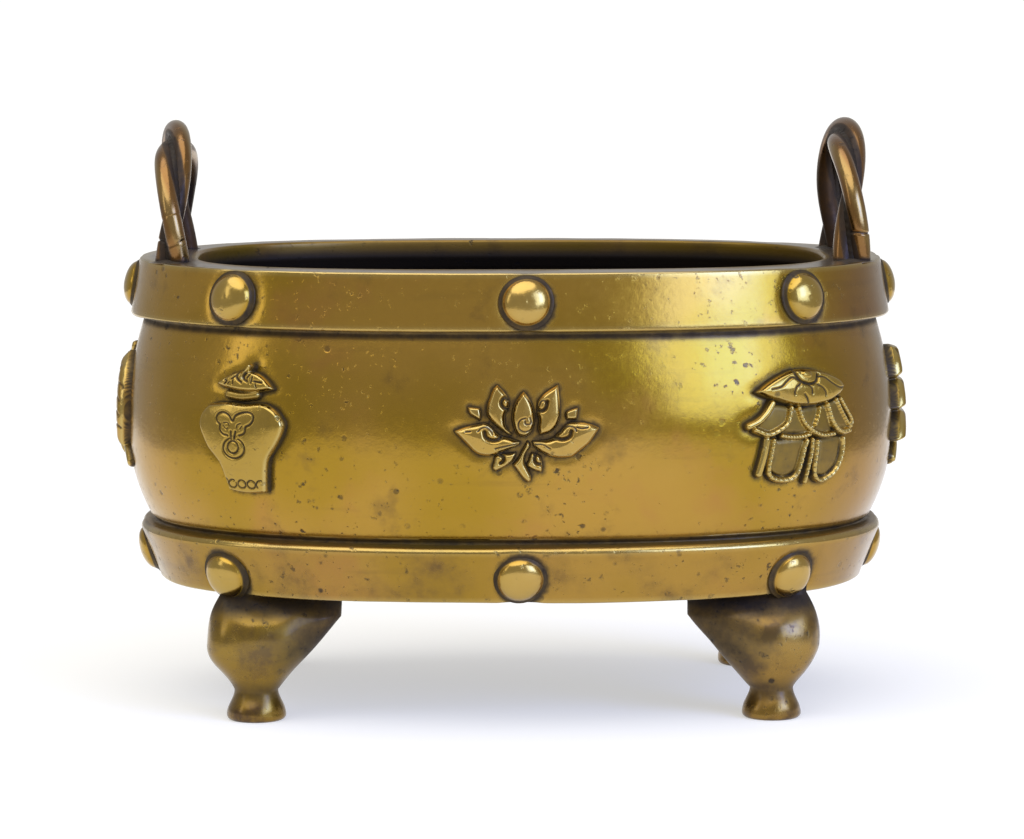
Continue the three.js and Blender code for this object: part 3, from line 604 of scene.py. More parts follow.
def lotus():
    """Lotus flower: bud, two upper petals, two wide side petals, tips, a bent stem, two leaves."""
    r = Relief("emblem_lotus", "front", 39, 29, FRONT_PITCH, LOTUS_RELIEF, (2.5, -0.7))
    tips = [
        [[(-13.0, 6.3), (-11.4, 6.2)], [(-9.9, 6.0), (-9.6, 4.2)], [(-9.9, 3.1), (-12.2, 4.6)]],
        [[(15.9, 6.1), (15.8, 4.7)], [(15.5, 3.3), (14.2, 3.2)], [(13.0, 3.3), (12.9, 4.9),
         (14.4, 5.7)]],
    ]
    for sides in tips:
        r.shape(outline(*sides), 0.55, 0.5)
    leaves = [
        [[(-0.5, -5.7), (-1.1, -7.4), (-2.3, -8.5), (-3.9, -9.5)], [(-5.7, -10.4), (-6.4, -9.6),
         (-6.0, -7.9), (-5.7, -6.6), (-4.7, -6.0), (-2.5, -6.0)]],
        [[(3.8, -5.9), (3.1, -7.7), (2.7, -9.0), (4.1, -10.0)], [(6.3, -10.7), (6.5, -9.6),
         (6.2, -7.7), (5.6, -6.5)]],
    ]
    for sides in leaves:
        r.shape(outline(*sides), 0.55, 0.7)
    stem = outline(
        [(2.7, -2.7), (1.1, -5.7), (0.2, -7.4)],
        [(-1.0, -8.8), (0.2, -10.4), (1.4, -12.1)],
        [(2.8, -13.4), (3.5, -13.0), (3.5, -11.8), (2.5, -9.9), (1.8, -8.2), (2.0, -6.0),
         (3.2, -3.9)],
    )
    r.shape(stem, 0.6, 0.7)
    left_wide = outline(
        [(-16.5, 0.1), (-13.8, 1.1), (-11.1, 1.7), (-8.4, 2.0), (-6.9, 1.1), (-5.8, -0.2),
         (-4.2, -1.3), (-1.7, -2.0)],
        [(0.6, -2.8), (0.1, -3.5), (-2.3, -4.5), (-5.0, -5.6), (-6.9, -6.3), (-9.2, -6.2),
         (-11.1, -5.4), (-13.3, -3.2)],
    )
    right_wide = outline(
        [(21.5, 0.8), (19.3, 1.8), (16.8, 2.3), (14.4, 2.2), (13.0, 1.7), (11.9, 0.6),
         (10.5, -0.8), (9.1, -2.0), (7.0, -2.5)],
        [(4.0, -2.7), (4.7, -4.1), (6.6, -5.5), (9.1, -6.6), (11.3, -6.9), (14.3, -6.6),
         (16.5, -5.0), (18.8, -3.1), (20.4, -0.9)],
    )
    for corners in (left_wide, right_wide):
        r.shape(corners, 0.72, 1.0, 0.9)
    left_upper = outline(
        [(-5.3, 12.1), (-6.4, 10.9), (-7.2, 8.8), (-7.8, 6.7), (-7.8, 4.5), (-6.7, 2.8),
         (-5.0, 1.2), (-3.1, -0.1)],
        [(-1.6, -0.8), (-2.9, 0.8), (-3.4, 2.8), (-3.3, 4.6), (-2.4, 6.2), (-2.3, 8.3),
         (-3.4, 10.1)],
    )
    right_upper = outline(
        [(10.8, 12.1), (11.1, 9.1), (11.2, 6.3), (11.1, 3.9), (10.2, 1.6), (8.5, -0.1)],
        [(6.0, -0.8), (5.6, 0.9), (5.8, 3.1), (5.4, 5.0), (5.4, 6.9), (5.8, 8.2), (6.9, 9.6),
         (8.7, 10.9)],
    )
    for corners in (left_upper, right_upper):
        r.shape(corners, 0.82, 0.9, 0.6)
    bud = outline(
        [(1.7, 10.4), (3.1, 8.5), (4.0, 6.4), (4.4, 4.2), (4.2, 1.7), (3.4, -0.2), (1.9, -1.2),
         (0.2, -0.7), (-0.7, 0.9), (-1.2, 3.1), (-1.1, 5.3), (-0.4, 7.5), (0.6, 9.1)],
    )
    r.shape(bud, 0.95, 0.9, 0.6)
    curls = [
        ([(-2.4, 8.3), (-3.4, 8.7), (-4.1, 8.0), (-4.2, 7.1), (-3.5, 6.2), (-2.3, 5.9)], 0.42),
        ([(7.9, 7.8), (7.6, 6.4), (6.8, 5.5), (5.6, 5.4)], 0.45),
        ([(-8.6, 0.0), (-8.2, -1.4), (-6.7, -2.2), (-5.0, -2.0), (-4.1, -1.2)], 0.48),
        ([(14.1, 0.1), (13.6, -1.3), (11.8, -2.0), (9.8, -1.6)], 0.48),
        ([(-4.6, -6.0), (-3.6, -6.8), (-3.8, -7.9), (-4.4, -8.3)], 0.42),
        ([(4.7, -6.3), (4.5, -7.4), (5.0, -8.4), (5.9, -8.6)], 0.42),
    ]
    for line, half_width in curls:
        r.engrave(smooth_line(line), half_width, 1.1)
    fine_lines = [
        [(3.3, 3.7), (3.6, 2.5), (3.0, 1.9), (2.1, 2.1), (2.0, 2.8)],
        [(2.2, 3.5), (0.9, 3.1), (0.2, 2.0), (0.5, 0.7), (1.8, 0.0), (3.2, 0.3)],
        [(5.8, 6.9), (6.2, 7.8), (7.1, 8.0), (7.6, 7.5)],
        [(-10.3, 0.1), (-9.4, 0.9), (-8.1, 1.1), (-6.9, 0.2), (-6.4, -0.7)],
        [(11.2, -0.2), (11.9, 0.8), (13.2, 1.4), (14.9, 1.0), (15.4, 0.1)],
        [(-5.8, -4.4), (-3.4, -3.8), (0.0, -3.2)], [(4.6, -3.3), (6.6, -3.4), (8.5, -4.4)],
        [(15.5, 1.1), (16.8, 0.8), (18.4, 1.0)], [(-13.5, 0.0), (-12.2, 0.1)],
    ]
    for line in fine_lines:
        r.engrave(smooth_line(line), 0.24, 0.4)
    return r


def canopy():
    """Canopy: a lens-shaped roof with a knob, hatched swags under it and looped hanging bands."""
    r = Relief("emblem_canopy", "front_right", 36, 33, FRONT_PITCH, centre=(-2.5, -0.8))
    webs = [
        [[(-12.0, 5.6), (-13.6, 3.4), (-17.0, 0.6)], [(-13.9, -2.0), (-10.9, -1.3), (-8.2, 0.5),
         (-6.9, 4.4)]],
        [[(-6.5, 4.2), (-7.6, 1.0), (-9.8, -1.6)], [(-4.9, -2.4), (-0.6, -2.2), (-2.6, 0.7),
         (-4.0, 4.0)]],
        [[(-3.8, 4.0), (-2.4, 0.9), (0.8, -1.7)], [(4.2, -3.0), (7.2, -3.0), (6.4, 0.6),
         (5.4, 4.4)]],
        [[(5.8, 4.6), (7.4, 0.6), (9.6, -1.8)], [(13.4, -2.5), (13.0, 0.6), (9.8, 5.2)]],
        [[(-11.4, -4.0), (-11.8, -8.0), (-12.0, -12.0)], [(-8.4, -14.0), (-4.8, -12.2),
         (-3.4, -7.4), (-2.8, -4.2)]],
        [[(3.0, -4.6), (2.8, -9.0), (3.0, -13.6)], [(6.0, -14.4), (9.4, -11.4), (10.4, -7.2),
         (10.4, -4.4)]],
    ]
    for sides in webs:
        r.shape(outline(*sides), 0.3, 1.2, 0.0, 0.6)
    bands = [
        ([(-13.9, -3.8), (-14.7, -7.9), (-15.9, -12.7)], 1.0, 0.5, 0),
        ([(-12.0, -3.9), (-12.5, -7.1), (-13.1, -10.4), (-12.9, -12.8), (-11.3, -14.2),
          (-8.4, -14.8), (-5.5, -14.4), (-4.0, -12.9), (-3.1, -9.8), (-2.2, -6.2), (-1.5, -4.6)],
         0.78, 0.6, 1.5),
        ([(0.6, -4.4), (0.4, -7.6), (-0.3, -11.4), (-1.0, -15.6)], 0.66, 0.5, 1.5),
        ([(2.1, -5.0), (1.9, -8.0), (1.6, -11.4), (2.0, -13.8), (3.6, -15.5), (5.9, -15.3),
          (9.0, -13.6), (10.7, -10.8), (11.5, -7.7), (11.5, -4.8)], 0.72, 0.6, 1.5),
        ([(-9.4, -2.8), (-7.5, -3.2), (-5.2, -3.4), (-2.8, -3.3), (-0.7, -2.9)], 0.75, 0.6, 0.9),
        ([(-12.2, 5.9), (-13.9, 3.6), (-16.4, 1.4), (-19.4, 0.1)], 0.95, 0.7, 0),
        ([(2.9, 3.9), (2.3, 1.8), (1.2, -0.5)], 0.72, 0.62, 1.2),
        ([(-6.6, 4.4), (-7.9, 0.6), (-10.7, -1.3), (-13.9, -2.2), (-17.6, -0.9)], 0.85, 0.75, 1.6),
        ([(-4.2, 4.2), (-2.9, 0.8), (-0.2, -1.7), (3.4, -3.3), (7.4, -3.3)], 0.8, 0.75, 1.1),
        ([(5.6, 4.6), (7.0, 0.5), (9.0, -2.0), (11.2, -3.0), (13.4, -2.8)], 0.85, 0.75, 1.2),
        ([(9.3, 5.8), (11.0, 2.6), (13.1, -0.4), (14.5, -1.8)], 0.6, 0.6, 1.0),
        ([(11.0, 5.8), (12.9, 3.0), (15.0, -0.1), (14.6, -1.8)], 0.6, 0.6, 1.0),
    ]
    for line, half_width, share, spacing in bands:
        route = smooth_line(line)
        r.band(route, half_width, share, 0.7)
        if spacing:
            r.hatch(route, half_width, spacing)
    roof = outline(
        [(-16.9, 9.0), (-13.9, 10.9), (-10.9, 12.4), (-7.8, 13.6), (-4.8, 14.3), (-1.7, 14.4),
         (1.3, 14.1), (4.4, 13.5), (7.6, 12.4), (10.6, 10.9)],
        [(12.3, 8.8), (10.1, 7.1), (6.5, 5.6), (3.1, 5.0), (-0.7, 4.7), (-4.6, 5.0), (-8.3, 5.8),
         (-11.6, 6.9), (-14.3, 7.8)],
    )
    r.shape(roof, 0.8, 0.9, 1.3)
    petals = [
        [(-4.4, 11.3), (-6.2, 12.3), (-8.2, 11.3), (-10.1, 10.0), (-12.8, 9.5)],
        [(1.9, 12.1), (4.1, 11.8), (6.5, 10.2), (9.0, 8.9), (11.6, 8.8)],
        [(-4.2, 10.5), (-5.5, 9.7), (-6.2, 8.6), (-6.1, 7.9)],
        [(-1.4, 9.9), (-0.7, 9.0), (-0.7, 7.8)],
        [(1.2, 10.0), (2.7, 9.3), (3.9, 8.0), (4.0, 7.1)],
        [(-3.1, 7.8), (-2.3, 6.7), (-1.7, 5.2)],
    ]
    for line in petals:
        r.engrave(smooth_line(line), 0.26, 0.4)
    r.engrave(smooth_line([(-4.9, 14.3), (-4.9, 12.8), (-3.7, 11.1), (-1.2, 10.3), (1.0, 10.8),
                           (2.1, 12.6)]), 0.42, 0.9)
    r.shape(oval((-1.7, 12.7), 2.35, 1.7, -0.12), 1.15, 1.4, 0.3)
    return r


# The emblems that the photograph hides or shows edge-on, drawn plainer


def conch():
    """Conch shell: a swelling body drawn out to a tip, a coiled crown and a curled lip."""
    r = Relief("emblem_conch", "back_right", 24, 34, HIDDEN_PITCH, centre=(0, 0))
    body = outline(
        [(-6.6, 11.6), (-1.4, 12.4), (4.0, 10.4), (8.6, 5.2), (9.6, -0.6), (7.8, -6.2),
         (5.0, -11.2)],
        [(3.6, -16.4), (0.0, -12.6), (-5.0, -7.2), (-9.2, -1.6), (-10.6, 4.6), (-9.4, 9.2)],
    )
    r.shape(body, 0.85, 1.6, 1.0)
    for radius, share in [(4.6, 0.9), (3.0, 1.0), (1.5, 1.15)]:
        r.shape(oval((-3.6, 11.6 + (4.6 - radius) * 0.9), radius, radius * 0.7, 0.3), share, 1.0)
    r.engrave(smooth_line([(6.4, 6.4), (3.0, 3.2), (2.0, -2.4), (3.2, -9.6)]), 0.5, 1.0)
    for shift in (-2.6, -5.2, -7.6):
        r.engrave(smooth_line([(shift + 1.6, 8.8), (shift, 3.6), (shift + 2.4, -3.4)]), 0.28, 0.4)
    return r


def wheel():
    """Wheel: rim, hub and eight spokes."""
    r = Relief("emblem_wheel", "back", 29, 29, HIDDEN_PITCH)
    for index in range(8):
        angle = TURN * index / 8
        ends = [(reach * math.cos(angle), reach * math.sin(angle)) for reach in (2.4, 12.6)]
        r.band(np.array(ends), 1.0, 0.6, 0.9)
    r.band(oval((0, 0), 12.6, 12.6, steps=72), 1.8, 0.8, 1.2)
    r.shape(oval((0, 0), 3.6, 3.6), 1.0, 2.2)
    r.engrave(oval((0, 0), 12.6, 12.6, steps=72), 0.28, 0.4)
    r.engrave(oval((0, 0), 2.1, 2.1), 0.28, 0.4)
    return r


def endless_knot():
    """Endless knot: two crossed pairs of bands, over and under, joined by loops at the corners."""
    r = Relief("emblem_knot", "back_left", 28, 28, HIDDEN_PITCH)
    gap, reach, half = 3.6, 7.0, 1.3
    outer = reach + gap
    for side_x, side_y in [(1, 1), (-1, 1), (-1, -1), (1, -1)]:
        route = [(outer, reach - gap), (outer + 1.6, outer + 1.6), (reach - gap, outer)]
        r.band(smooth_line([(side_x * x, side_y * y) for x, y in route]), half, 0.55)
    for shift in (-gap, gap):
        rising = np.array([(-reach + shift, -reach - shift), (reach + shift, reach - shift)])
        falling = np.array([(-reach + shift, reach + shift), (reach + shift, -reach + shift)])
        r.band(rising, half, 0.62)
        r.band(falling, half, 0.72)
        r.engrave(rising, 0.25, 0.3)
        r.engrave(falling, 0.25, 0.3)
    return r


def parasol():
    """Parasol seen on the right end: three tiers that step out, a shaft and two ribbons."""
    r = Relief("emblem_parasol", "right_end", 31, 34, HIDDEN_PITCH, PARASOL_RELIEF)
    r.band(smooth_line([(0, -8), (0, -16)]), 1.6, 0.5)
    for side in (-1, 1):
        r.band(smooth_line([(2 * side, -9.5), (6 * side, -11.4), (10 * side, -14.5)]), 1.4, 0.45)
    for top, half in [(-1.5, 14.2), (7.0, 11.3), (15.5, 7.6)]:
        tier = outline(
            [(-0.45 * half, top), (0, top + 0.4)],
            [(0.45 * half, top), (0.8 * half, top - 3.6)],
            [(half, top - 7.8), (0.4 * half, top - 8.8), (-0.4 * half, top - 8.8)],
            [(-half, top - 7.8), (-0.8 * half, top - 3.6)],
        )
        r.shape(tier, 0.85, 1.5, 0.5)
        for lean in (-0.5, -0.17, 0.17, 0.5):
            foot = (1.5 * lean * half, top - 7.6)
            r.engrave(smooth_line([(0.8 * lean * half, top - 1), foot]), 0.3, 0.4)
    return r


def twin_fish():
    """Two fish seen on the left end, each bent round half a circle, with a pearl between them."""
    r = Relief("emblem_fish", "left_end", 29, 34, HIDDEN_PITCH, END_RELIEF)
    for sense in (1, -1):
        turned = [(8.6, -11.6), (12.6, -5.0), (12.8, 3.0), (9.6, 10.6), (3.2, 15.2)]
        back = [(3.2, 15.2), (3.6, 9.0), (5.0, 2.0), (5.4, -5.0), (8.6, -11.6)]
        sides = [[(sense * x, sense * y) for x, y in side[:-1]] for side in (turned, back)]
        r.shape(outline(*sides), 0.85, 1.8, 0.7)
        for tip in [(12.8, -14.6), (3.6, -16.0)]:
            ends = [(8.4, -11.0), ((8.4 + tip[0]) / 2 + 0.4, -12.4), tip]
            r.band(smooth_line([(sense * x, sense * y) for x, y in ends]), 1.3, 0.45)
        for z in (-6, -2.4, 1.2, 4.8):
            arc = oval((sense * 9.2, sense * z), 2.6, 1.8, 0, 0.3, 2.8, 16)
            r.engrave(arc, 0.3, 0.35)
        r.engrave(oval((sense * 6.6, sense * 10.2), 0.9, 0.9), 0.26, 0.4)
    r.shape(oval((0, 0), 3, 3), 1.0, 2.4)
    return r


EMBLEMS = [vase(), lotus(), canopy(), conch(), wheel(), endless_knot(), parasol(), twin_fish()]


# Vessel


def arc_rows(start, end, bulge, steps):
    """Quarter-ellipse rows from one (inset, z) to another. The first coordinate runs fastest at
    the start when bulge is 'inset', and the second when it is 'z'."""
    angle = np.linspace(0, QUARTER, steps)
    fast, slow = np.sin(angle), 1 - np.cos(angle)
    shares = (fast, slow) if bulge == "inset" else (slow, fast)
    return np.stack([mix(start[0], end[0], shares[0]), mix(start[1], end[1], shares[1])], -1)


def outside_rows():
    """(inset, z) down the outside of the vessel, from the underside's edge up to the rim's."""
    shoulder = LOWER_BAND_TOP - SHOULDER_ROUND
    belly_z = BELLY_MIDDLE - BELLY_HALF_HEIGHT * np.cos(np.linspace(0, math.pi, 66))
    belly = np.stack([belly_inset(belly_z), belly_z], -1)
    foot = (LOWER_BAND_FOOT_INSET, UNDERSIDE_HEIGHT + BAND_EDGE_ROUND)
    groove = (GROOVE_INSET, LOWER_BAND_TOP + GROOVE_HEIGHT / 4)
    neck = (NECK_GROOVE_INSET, BAND_BOTTOM - NECK_GROOVE_HEIGHT / 4)
    band_z = (BAND_BOTTOM + BAND_EDGE_ROUND, RIM_HEIGHT - BAND_EDGE_ROUND)
    band_foot, band_head = [(upper_band_inset(z), z) for z in band_z]
    return np.concatenate([
        arc_rows((foot[0] + BAND_EDGE_ROUND, UNDERSIDE_HEIGHT), foot, "inset", 5),
        np.linspace(foot, (LOWER_BAND_TOP_INSET, shoulder), 15)[1:],
        arc_rows((LOWER_BAND_TOP_INSET, shoulder),
                 (LOWER_BAND_TOP_INSET + SHOULDER_ROUND, LOWER_BAND_TOP), "z", 7)[1:],
        np.linspace((LOWER_BAND_TOP_INSET + SHOULDER_ROUND, LOWER_BAND_TOP), groove, 3)[1:],
        np.linspace(groove, belly[0], 4)[1:-1],
        belly,
        np.linspace(belly[-1], neck, 4)[1:],
        np.linspace(neck, (BAND_EDGE_ROUND, BAND_BOTTOM), 6)[1:],
        arc_rows((BAND_EDGE_ROUND, BAND_BOTTOM), band_foot, "inset", 5)[1:],
        np.linspace(band_foot, band_head, 15)[1:],
        arc_rows(band_head, (UPPER_BAND_TOP_INSET + BAND_EDGE_ROUND, RIM_HEIGHT), "z", 5)[1:],
    ])


def inside_rows():
    """(inset, z, 1 if of the opening's plan) from the rim's inner edge down to the floor."""
    lip = RIM_HEIGHT - LIP_THICKNESS
    wall_z = np.linspace(BELLY_TOP, BELLY_BOTTOM, 18)
    wall = np.stack([WALL + belly_inset(wall_z), wall_z], -1)
    under_lip = (WALL + belly_inset(BELLY_TOP), lip - LIP_UNDERSIDE_SLOPE)
    foot = wall[-1]
    corner = arc_rows(foot, (foot[0] + FLOOR_CORNER, FLOOR_HEIGHT), "z", 9)
    opening = np.concatenate([
        arc_rows((-BAND_EDGE_ROUND, RIM_HEIGHT), (0, RIM_HEIGHT - BAND_EDGE_ROUND), "inset", 5),
        np.linspace((0, RIM_HEIGHT - BAND_EDGE_ROUND), (0, lip), 6)[1:],
    ])
    walls = np.concatenate([[under_lip], wall, corner[1:]])
    shares = np.concatenate([np.ones(len(opening)), np.zeros(len(walls))])
    return np.column_stack([np.concatenate([opening, walls]), shares])


def column_distances():
    """Distances along the band of the grid's columns, closer together across each emblem."""
    step, fine, coarse, half_patch = 0.25, 1.05, 1.9, 21.0
    along = np.arange(0, GIRTH, step)
    near = np.zeros(len(along), bool)
    for emblem in EMBLEMS:
        middle = STATIONS[emblem.station] + (emblem.x[0] + emblem.x[-1]) / 2
        away = np.abs(np.mod(along - middle + GIRTH / 2, GIRTH) - GIRTH / 2)
        near |= away < half_patch
    count = np.concatenate([[0], np.cumsum(step / np.where(near, fine, coarse))])
    columns = int(round(count[-1]))
    ends = np.append(along, GIRTH)
    return np.interp(np.arange(columns) / columns * count[-1], count, ends)


def stud_places():
    """Distance along the band, height and face of every stud."""
    upper_z = RIM_HEIGHT - UPPER_BAND_HEIGHT / 2
    lower_z = UNDERSIDE_HEIGHT + LOWER_BAND_HEIGHT / 2
    places = []
    for name, distance in STATIONS.items():
        drop = LOWER_CORNER_STUD_DROP if "_" in name and "end" not in name else LOWER_STUD_DROP
        upper = distance + UPPER_STUD_SHIFTS.get(name, 0)
        lower = distance + LOWER_STUD_SHIFTS.get(name, 0)
        places.append((upper, upper_z, upper_band_inset))
        places.append((lower, lower_z - drop, lower_band_inset))
    return places


def stud_gap(distance, z):
    """Distance from places on the wall to the nearest stud's grime, widened below it and to its
    right by a painted shadow."""
    gap = np.full(np.broadcast(distance, z).shape, 99.0)
    for along, height, _ in stud_places():
        right = np.mod(distance - along + GIRTH / 2, GIRTH) - GIRTH / 2
        up = z - height
        reach = np.hypot(right, up)
        # Painted shadow: the ring widens below and to the right of each stud.
        shadow_side = STUD_SHADOW_LEAN * (right - up) / np.maximum(reach, 1)
        gap = np.minimum(gap, reach - STUD_RADIUS - STUD_DIRT_WIDTH - shadow_side)
    return gap


def surface_normals(grid):
    """Unit normals of a grid that is round in its columns, from differences of its points."""
    across = np.roll(grid, -1, 1) - np.roll(grid, 1, 1)
    along = np.gradient(grid, axis=0)
    normal = np.cross(across, along)
    return normal / np.maximum(np.linalg.norm(normal, axis=-1, keepdims=True), 1e-9)


def band_ring(inset, angles):
    """Ring of the band's plan, so far in from its face."""
    half_length, half_depth = BAND_HALF_LENGTH - inset, BAND_HALF_DEPTH - inset
    return plan_curve(half_length, half_depth, PLAN_EXPONENT, angles)


def opening_ring(inset, angles):
    """Ring of the opening's plan, so far in from its edge."""
    half_length, half_depth = OPENING_HALF_LENGTH - inset, OPENING_HALF_DEPTH - inset
    return plan_curve(half_length, half_depth, OPENING_EXPONENT, angles)


def vessel(finish):
    """Closed skin of the vessel: rings of the plan up its outside, over the rim and down its
    inside, with the wall sunk a little round the emblems and studs and slightly uneven."""
    distances = column_distances()
    angles = angle_at(distances)
    outside = outside_rows()
    inside = inside_rows()
    under = np.linspace(0.04, 0.96, 9)
    rows = [(band_ring(outside[0][0], angles) * share, UNDERSIDE_HEIGHT) for share in under]
    rows += [(band_ring(inset, angles), z) for inset, z in outside]
    rim_outer = rows[-1][0]
    rim_inner = opening_ring(-BAND_EDGE_ROUND, angles)
    rim_shares = np.linspace(0, 1, 11)[1:-1]
    rows += [(mix(rim_outer, rim_inner, share), RIM_HEIGHT) for share in rim_shares]
    for inset, z, of_opening in inside:
        ring = opening_ring if of_opening else band_ring
        rows.append((ring(inset, angles), z))
    floor_ring = rows[-1][0]
    rows += [(floor_ring * share, FLOOR_HEIGHT) for share in np.linspace(0.9, 0.05, 8)]
    flat = np.stack([ring for ring, _ in rows])
    heights = np.array([z for _, z in rows])
    upright = np.broadcast_to(heights[:, None, None], flat.shape[:2] + (1,))
    grid = np.concatenate([flat, upright], -1)

    first_outside = len(under)
    first_rim = first_outside + len(outside)
    first_inside = first_rim + len(rim_shares)
    index = np.arange(len(rows))[:, None] + np.zeros(len(distances))[None]
    is_outside = (index >= first_outside) & (index < first_rim)
    is_inside = index >= first_inside
    z = grid[..., 2]
    along = np.broadcast_to(distances, z.shape)
    depth = np.full(z.shape, -99.0)
    for emblem in EMBLEMS:
        depth = np.maximum(depth, emblem.shade(along, z))
    gap = np.where(is_outside, np.minimum(-depth, stud_gap(along, z)), 99.0)
    normals = surface_normals(grid)
    uneven = sum(amount * waves(grid, *lengths) for amount, *lengths in WALL_WAVES)
    sunk = -HOLLOW_DEPTH * hump(np.clip(gap, 0, None), HOLLOW_REACH) * (gap < FAR_GAP)
    grid = grid + normals * ((uneven - WALL_SETBACK) * ~is_inside + sunk)[..., None]

    in_groove, in_neck = [hump(z - middle, reach) for middle, reach in (GROOVE_DIRT, NECK_DIRT)]
    recess = np.maximum(in_groove, in_neck) * is_outside
    # Painted shade: the underside is dark all over.
    recess = np.where(index < first_outside, 1.0, recess)
    low_band = (z < LOWER_BAND_TOP) & is_outside
    mottle = np.where(low_band, 0.45 - 0.2 * grid[..., 0] / BAND_HALF_LENGTH, 0)
    upper_share = mix(0.45, 0.75, ramp(z, BAND_BOTTOM - 1, BAND_BOTTOM + 1))
    red = upper_share * ramp(grid[..., 0], RED_FROM_X, RED_TO_X) * is_outside
    edge_rows = np.zeros(len(rows))
    for edge_z in (UNDERSIDE_HEIGHT, LOWER_BAND_TOP - 1, BAND_BOTTOM + 0.4, RIM_HEIGHT - 0.3):
        near = hump(heights - edge_z, EDGE_REACH)
        outer = (np.arange(len(rows)) >= first_outside) & (np.arange(len(rows)) < first_rim + 1)
        edge_rows = np.maximum(edge_rows, near * outer)
    edge_rows = np.where(np.abs(heights - LOWER_BAND_TOP) < 0.4, edge_rows * 0.4, edge_rows)
    worn = np.broadcast_to(edge_rows[:, None], z.shape) * EDGE_WEAR
    inner_depth = np.where(is_inside, 0.5 + 0.5 * ramp(RIM_HEIGHT - z, 0.8, 4.5), 0)
    grey = np.where((index >= first_rim - 3) & ~is_inside, 1.0, 0.0)
    points, faces = capped_tube(grid)
    values = {
        "recess": capped(recess),
        "gap": capped(np.clip(gap, -2, FAR_GAP)),
        "worn": capped(worn),
        "soot": capped(inner_depth),
        "grey": capped(grey),
        "mottle": capped(mottle),
        "red": capped(red),
    }
    return make_piece("vessel", points, faces, values, finish)


def studs(finish):
    """Sixteen domed studs, each rising out of a hollow fillet whose height grows as the square of
    the way in: a profile of (radius, height) turned round the wall's normal, a little uneven."""
    profile = [(STUD_RADIUS + STUD_FILLET, -STUD_ROOT)]
    for way_in in np.linspace(0, 1, 7):
        lift = mix(-0.12, STUD_FOOT_HEIGHT, way_in**2)
        profile.append((STUD_RADIUS + STUD_FILLET * (1 - way_in), lift))
    foot_angle = math.asin(STUD_FOOT_HEIGHT / STUD_HEIGHT) / QUARTER
    angles = np.linspace(foot_angle + 0.03, 0.985, 18) * QUARTER
    profile += [(STUD_RADIUS * math.cos(a), STUD_HEIGHT * math.sin(a)) for a in angles]
    radius, height = np.array(profile).T
    share = np.clip(height / STUD_HEIGHT, 0, 1)
    turn = np.arange(44) * TURN / 44
    parts = []
    for number, (along, z, inset_at) in enumerate(stud_places()):
        draw = np.random.default_rng(100 + number)
        seat = on_wall(along, z, inset_at, 0.0, 0.0, 0.0)
        out = on_wall(along, z, inset_at, 0.0, 0.0, 1.0) - seat
        across = np.cross([0, 0, 1], out)
        across /= np.linalg.norm(across)
        up = np.cross(out, across)
        lobes = 1 + 0.012 * np.sin(2 * turn + draw.uniform(0, TURN))
        lobes = lobes + 0.008 * np.sin(3 * turn + draw.uniform(0, TURN))
        stretch = 1 + draw.uniform(-0.02, 0.015)
        x = radius[:, None] * np.cos(turn) * lobes * stretch
        y = radius[:, None] * np.sin(turn) * lobes * stretch
        flat_top = 0.15 * share[:, None] ** 3 * (1 + 0.3 * np.cos(turn - draw.uniform(0, TURN)))
        lift = height[:, None] - flat_top * np.ones_like(x)
        grid = seat + x[..., None] * across + y[..., None] * up + lift[..., None] * out
        points, faces = capped_tube(grid)
        recess = ramp(-height, -1.0, -0.55)[:, None] * np.ones_like(x)
        worn = 0.45 * ramp(share, 0.22, 0.7)[:, None] * np.ones_like(x)
        parts.append((points, faces, {"recess": capped(recess), "worn": capped(worn)}))
    return make_piece("studs", *join_parts(parts), finish)


# Legs


def leg_rows():
    """Heights up the leg with its reach outwards and to the front, and its spread: a rounded
    sole, a foot that flares as a raised cosine below a waisted ankle, a knee that swells as a
    power of a sine and a tuck under the hip."""
    rows = []
    for angle in np.linspace(0, QUARTER, 6):
        radius = FOOT_RADIUS - SOLE_ROUND * (1 - math.sin(angle))
        rows.append((SOLE_ROUND * (1 - math.cos(angle)), radius, radius, 0))
    for share in np.linspace(0, 1, 15)[1:]:
        z = mix(SOLE_ROUND, ANKLE_HEIGHT, share)
        radius = mix(ANKLE_RADIUS, FOOT_RADIUS, (1 + math.cos(share**1.15 * math.pi)) / 2)
        rows.append((z, radius, radius, 0))
    corner = HIP_CORNER_HEIGHT - ANKLE_HEIGHT
    for share in np.linspace(0, 1, 27)[1:]:
        z = mix(ANKLE_HEIGHT, KNEE_HEIGHT, share)
        swell = math.sin(share * QUARTER) ** 1.3
        out, front = mix(ANKLE_RADIUS, KNEE_OUT, swell), mix(ANKLE_RADIUS, KNEE_FRONT, swell)
        rows.append((z, out, front, min(1, (z - ANKLE_HEIGHT) / corner)))
    for share in np.linspace(0, 1, 23)[1:]:
        z = mix(KNEE_HEIGHT, UNDERSIDE_HEIGHT, share)
        tuck = (1 - math.cos(share * QUARTER)) ** 1.25
        out, front = mix(KNEE_OUT, HIP_OUT, tuck), mix(KNEE_FRONT, HIP_FRONT, tuck)
        rows.append((z, out, front, min(1, (z - ANKLE_HEIGHT) / corner)))
    rows.append((UNDERSIDE_HEIGHT + LEG_ROOT, HIP_OUT, HIP_FRONT, 1))
    return np.array(rows)


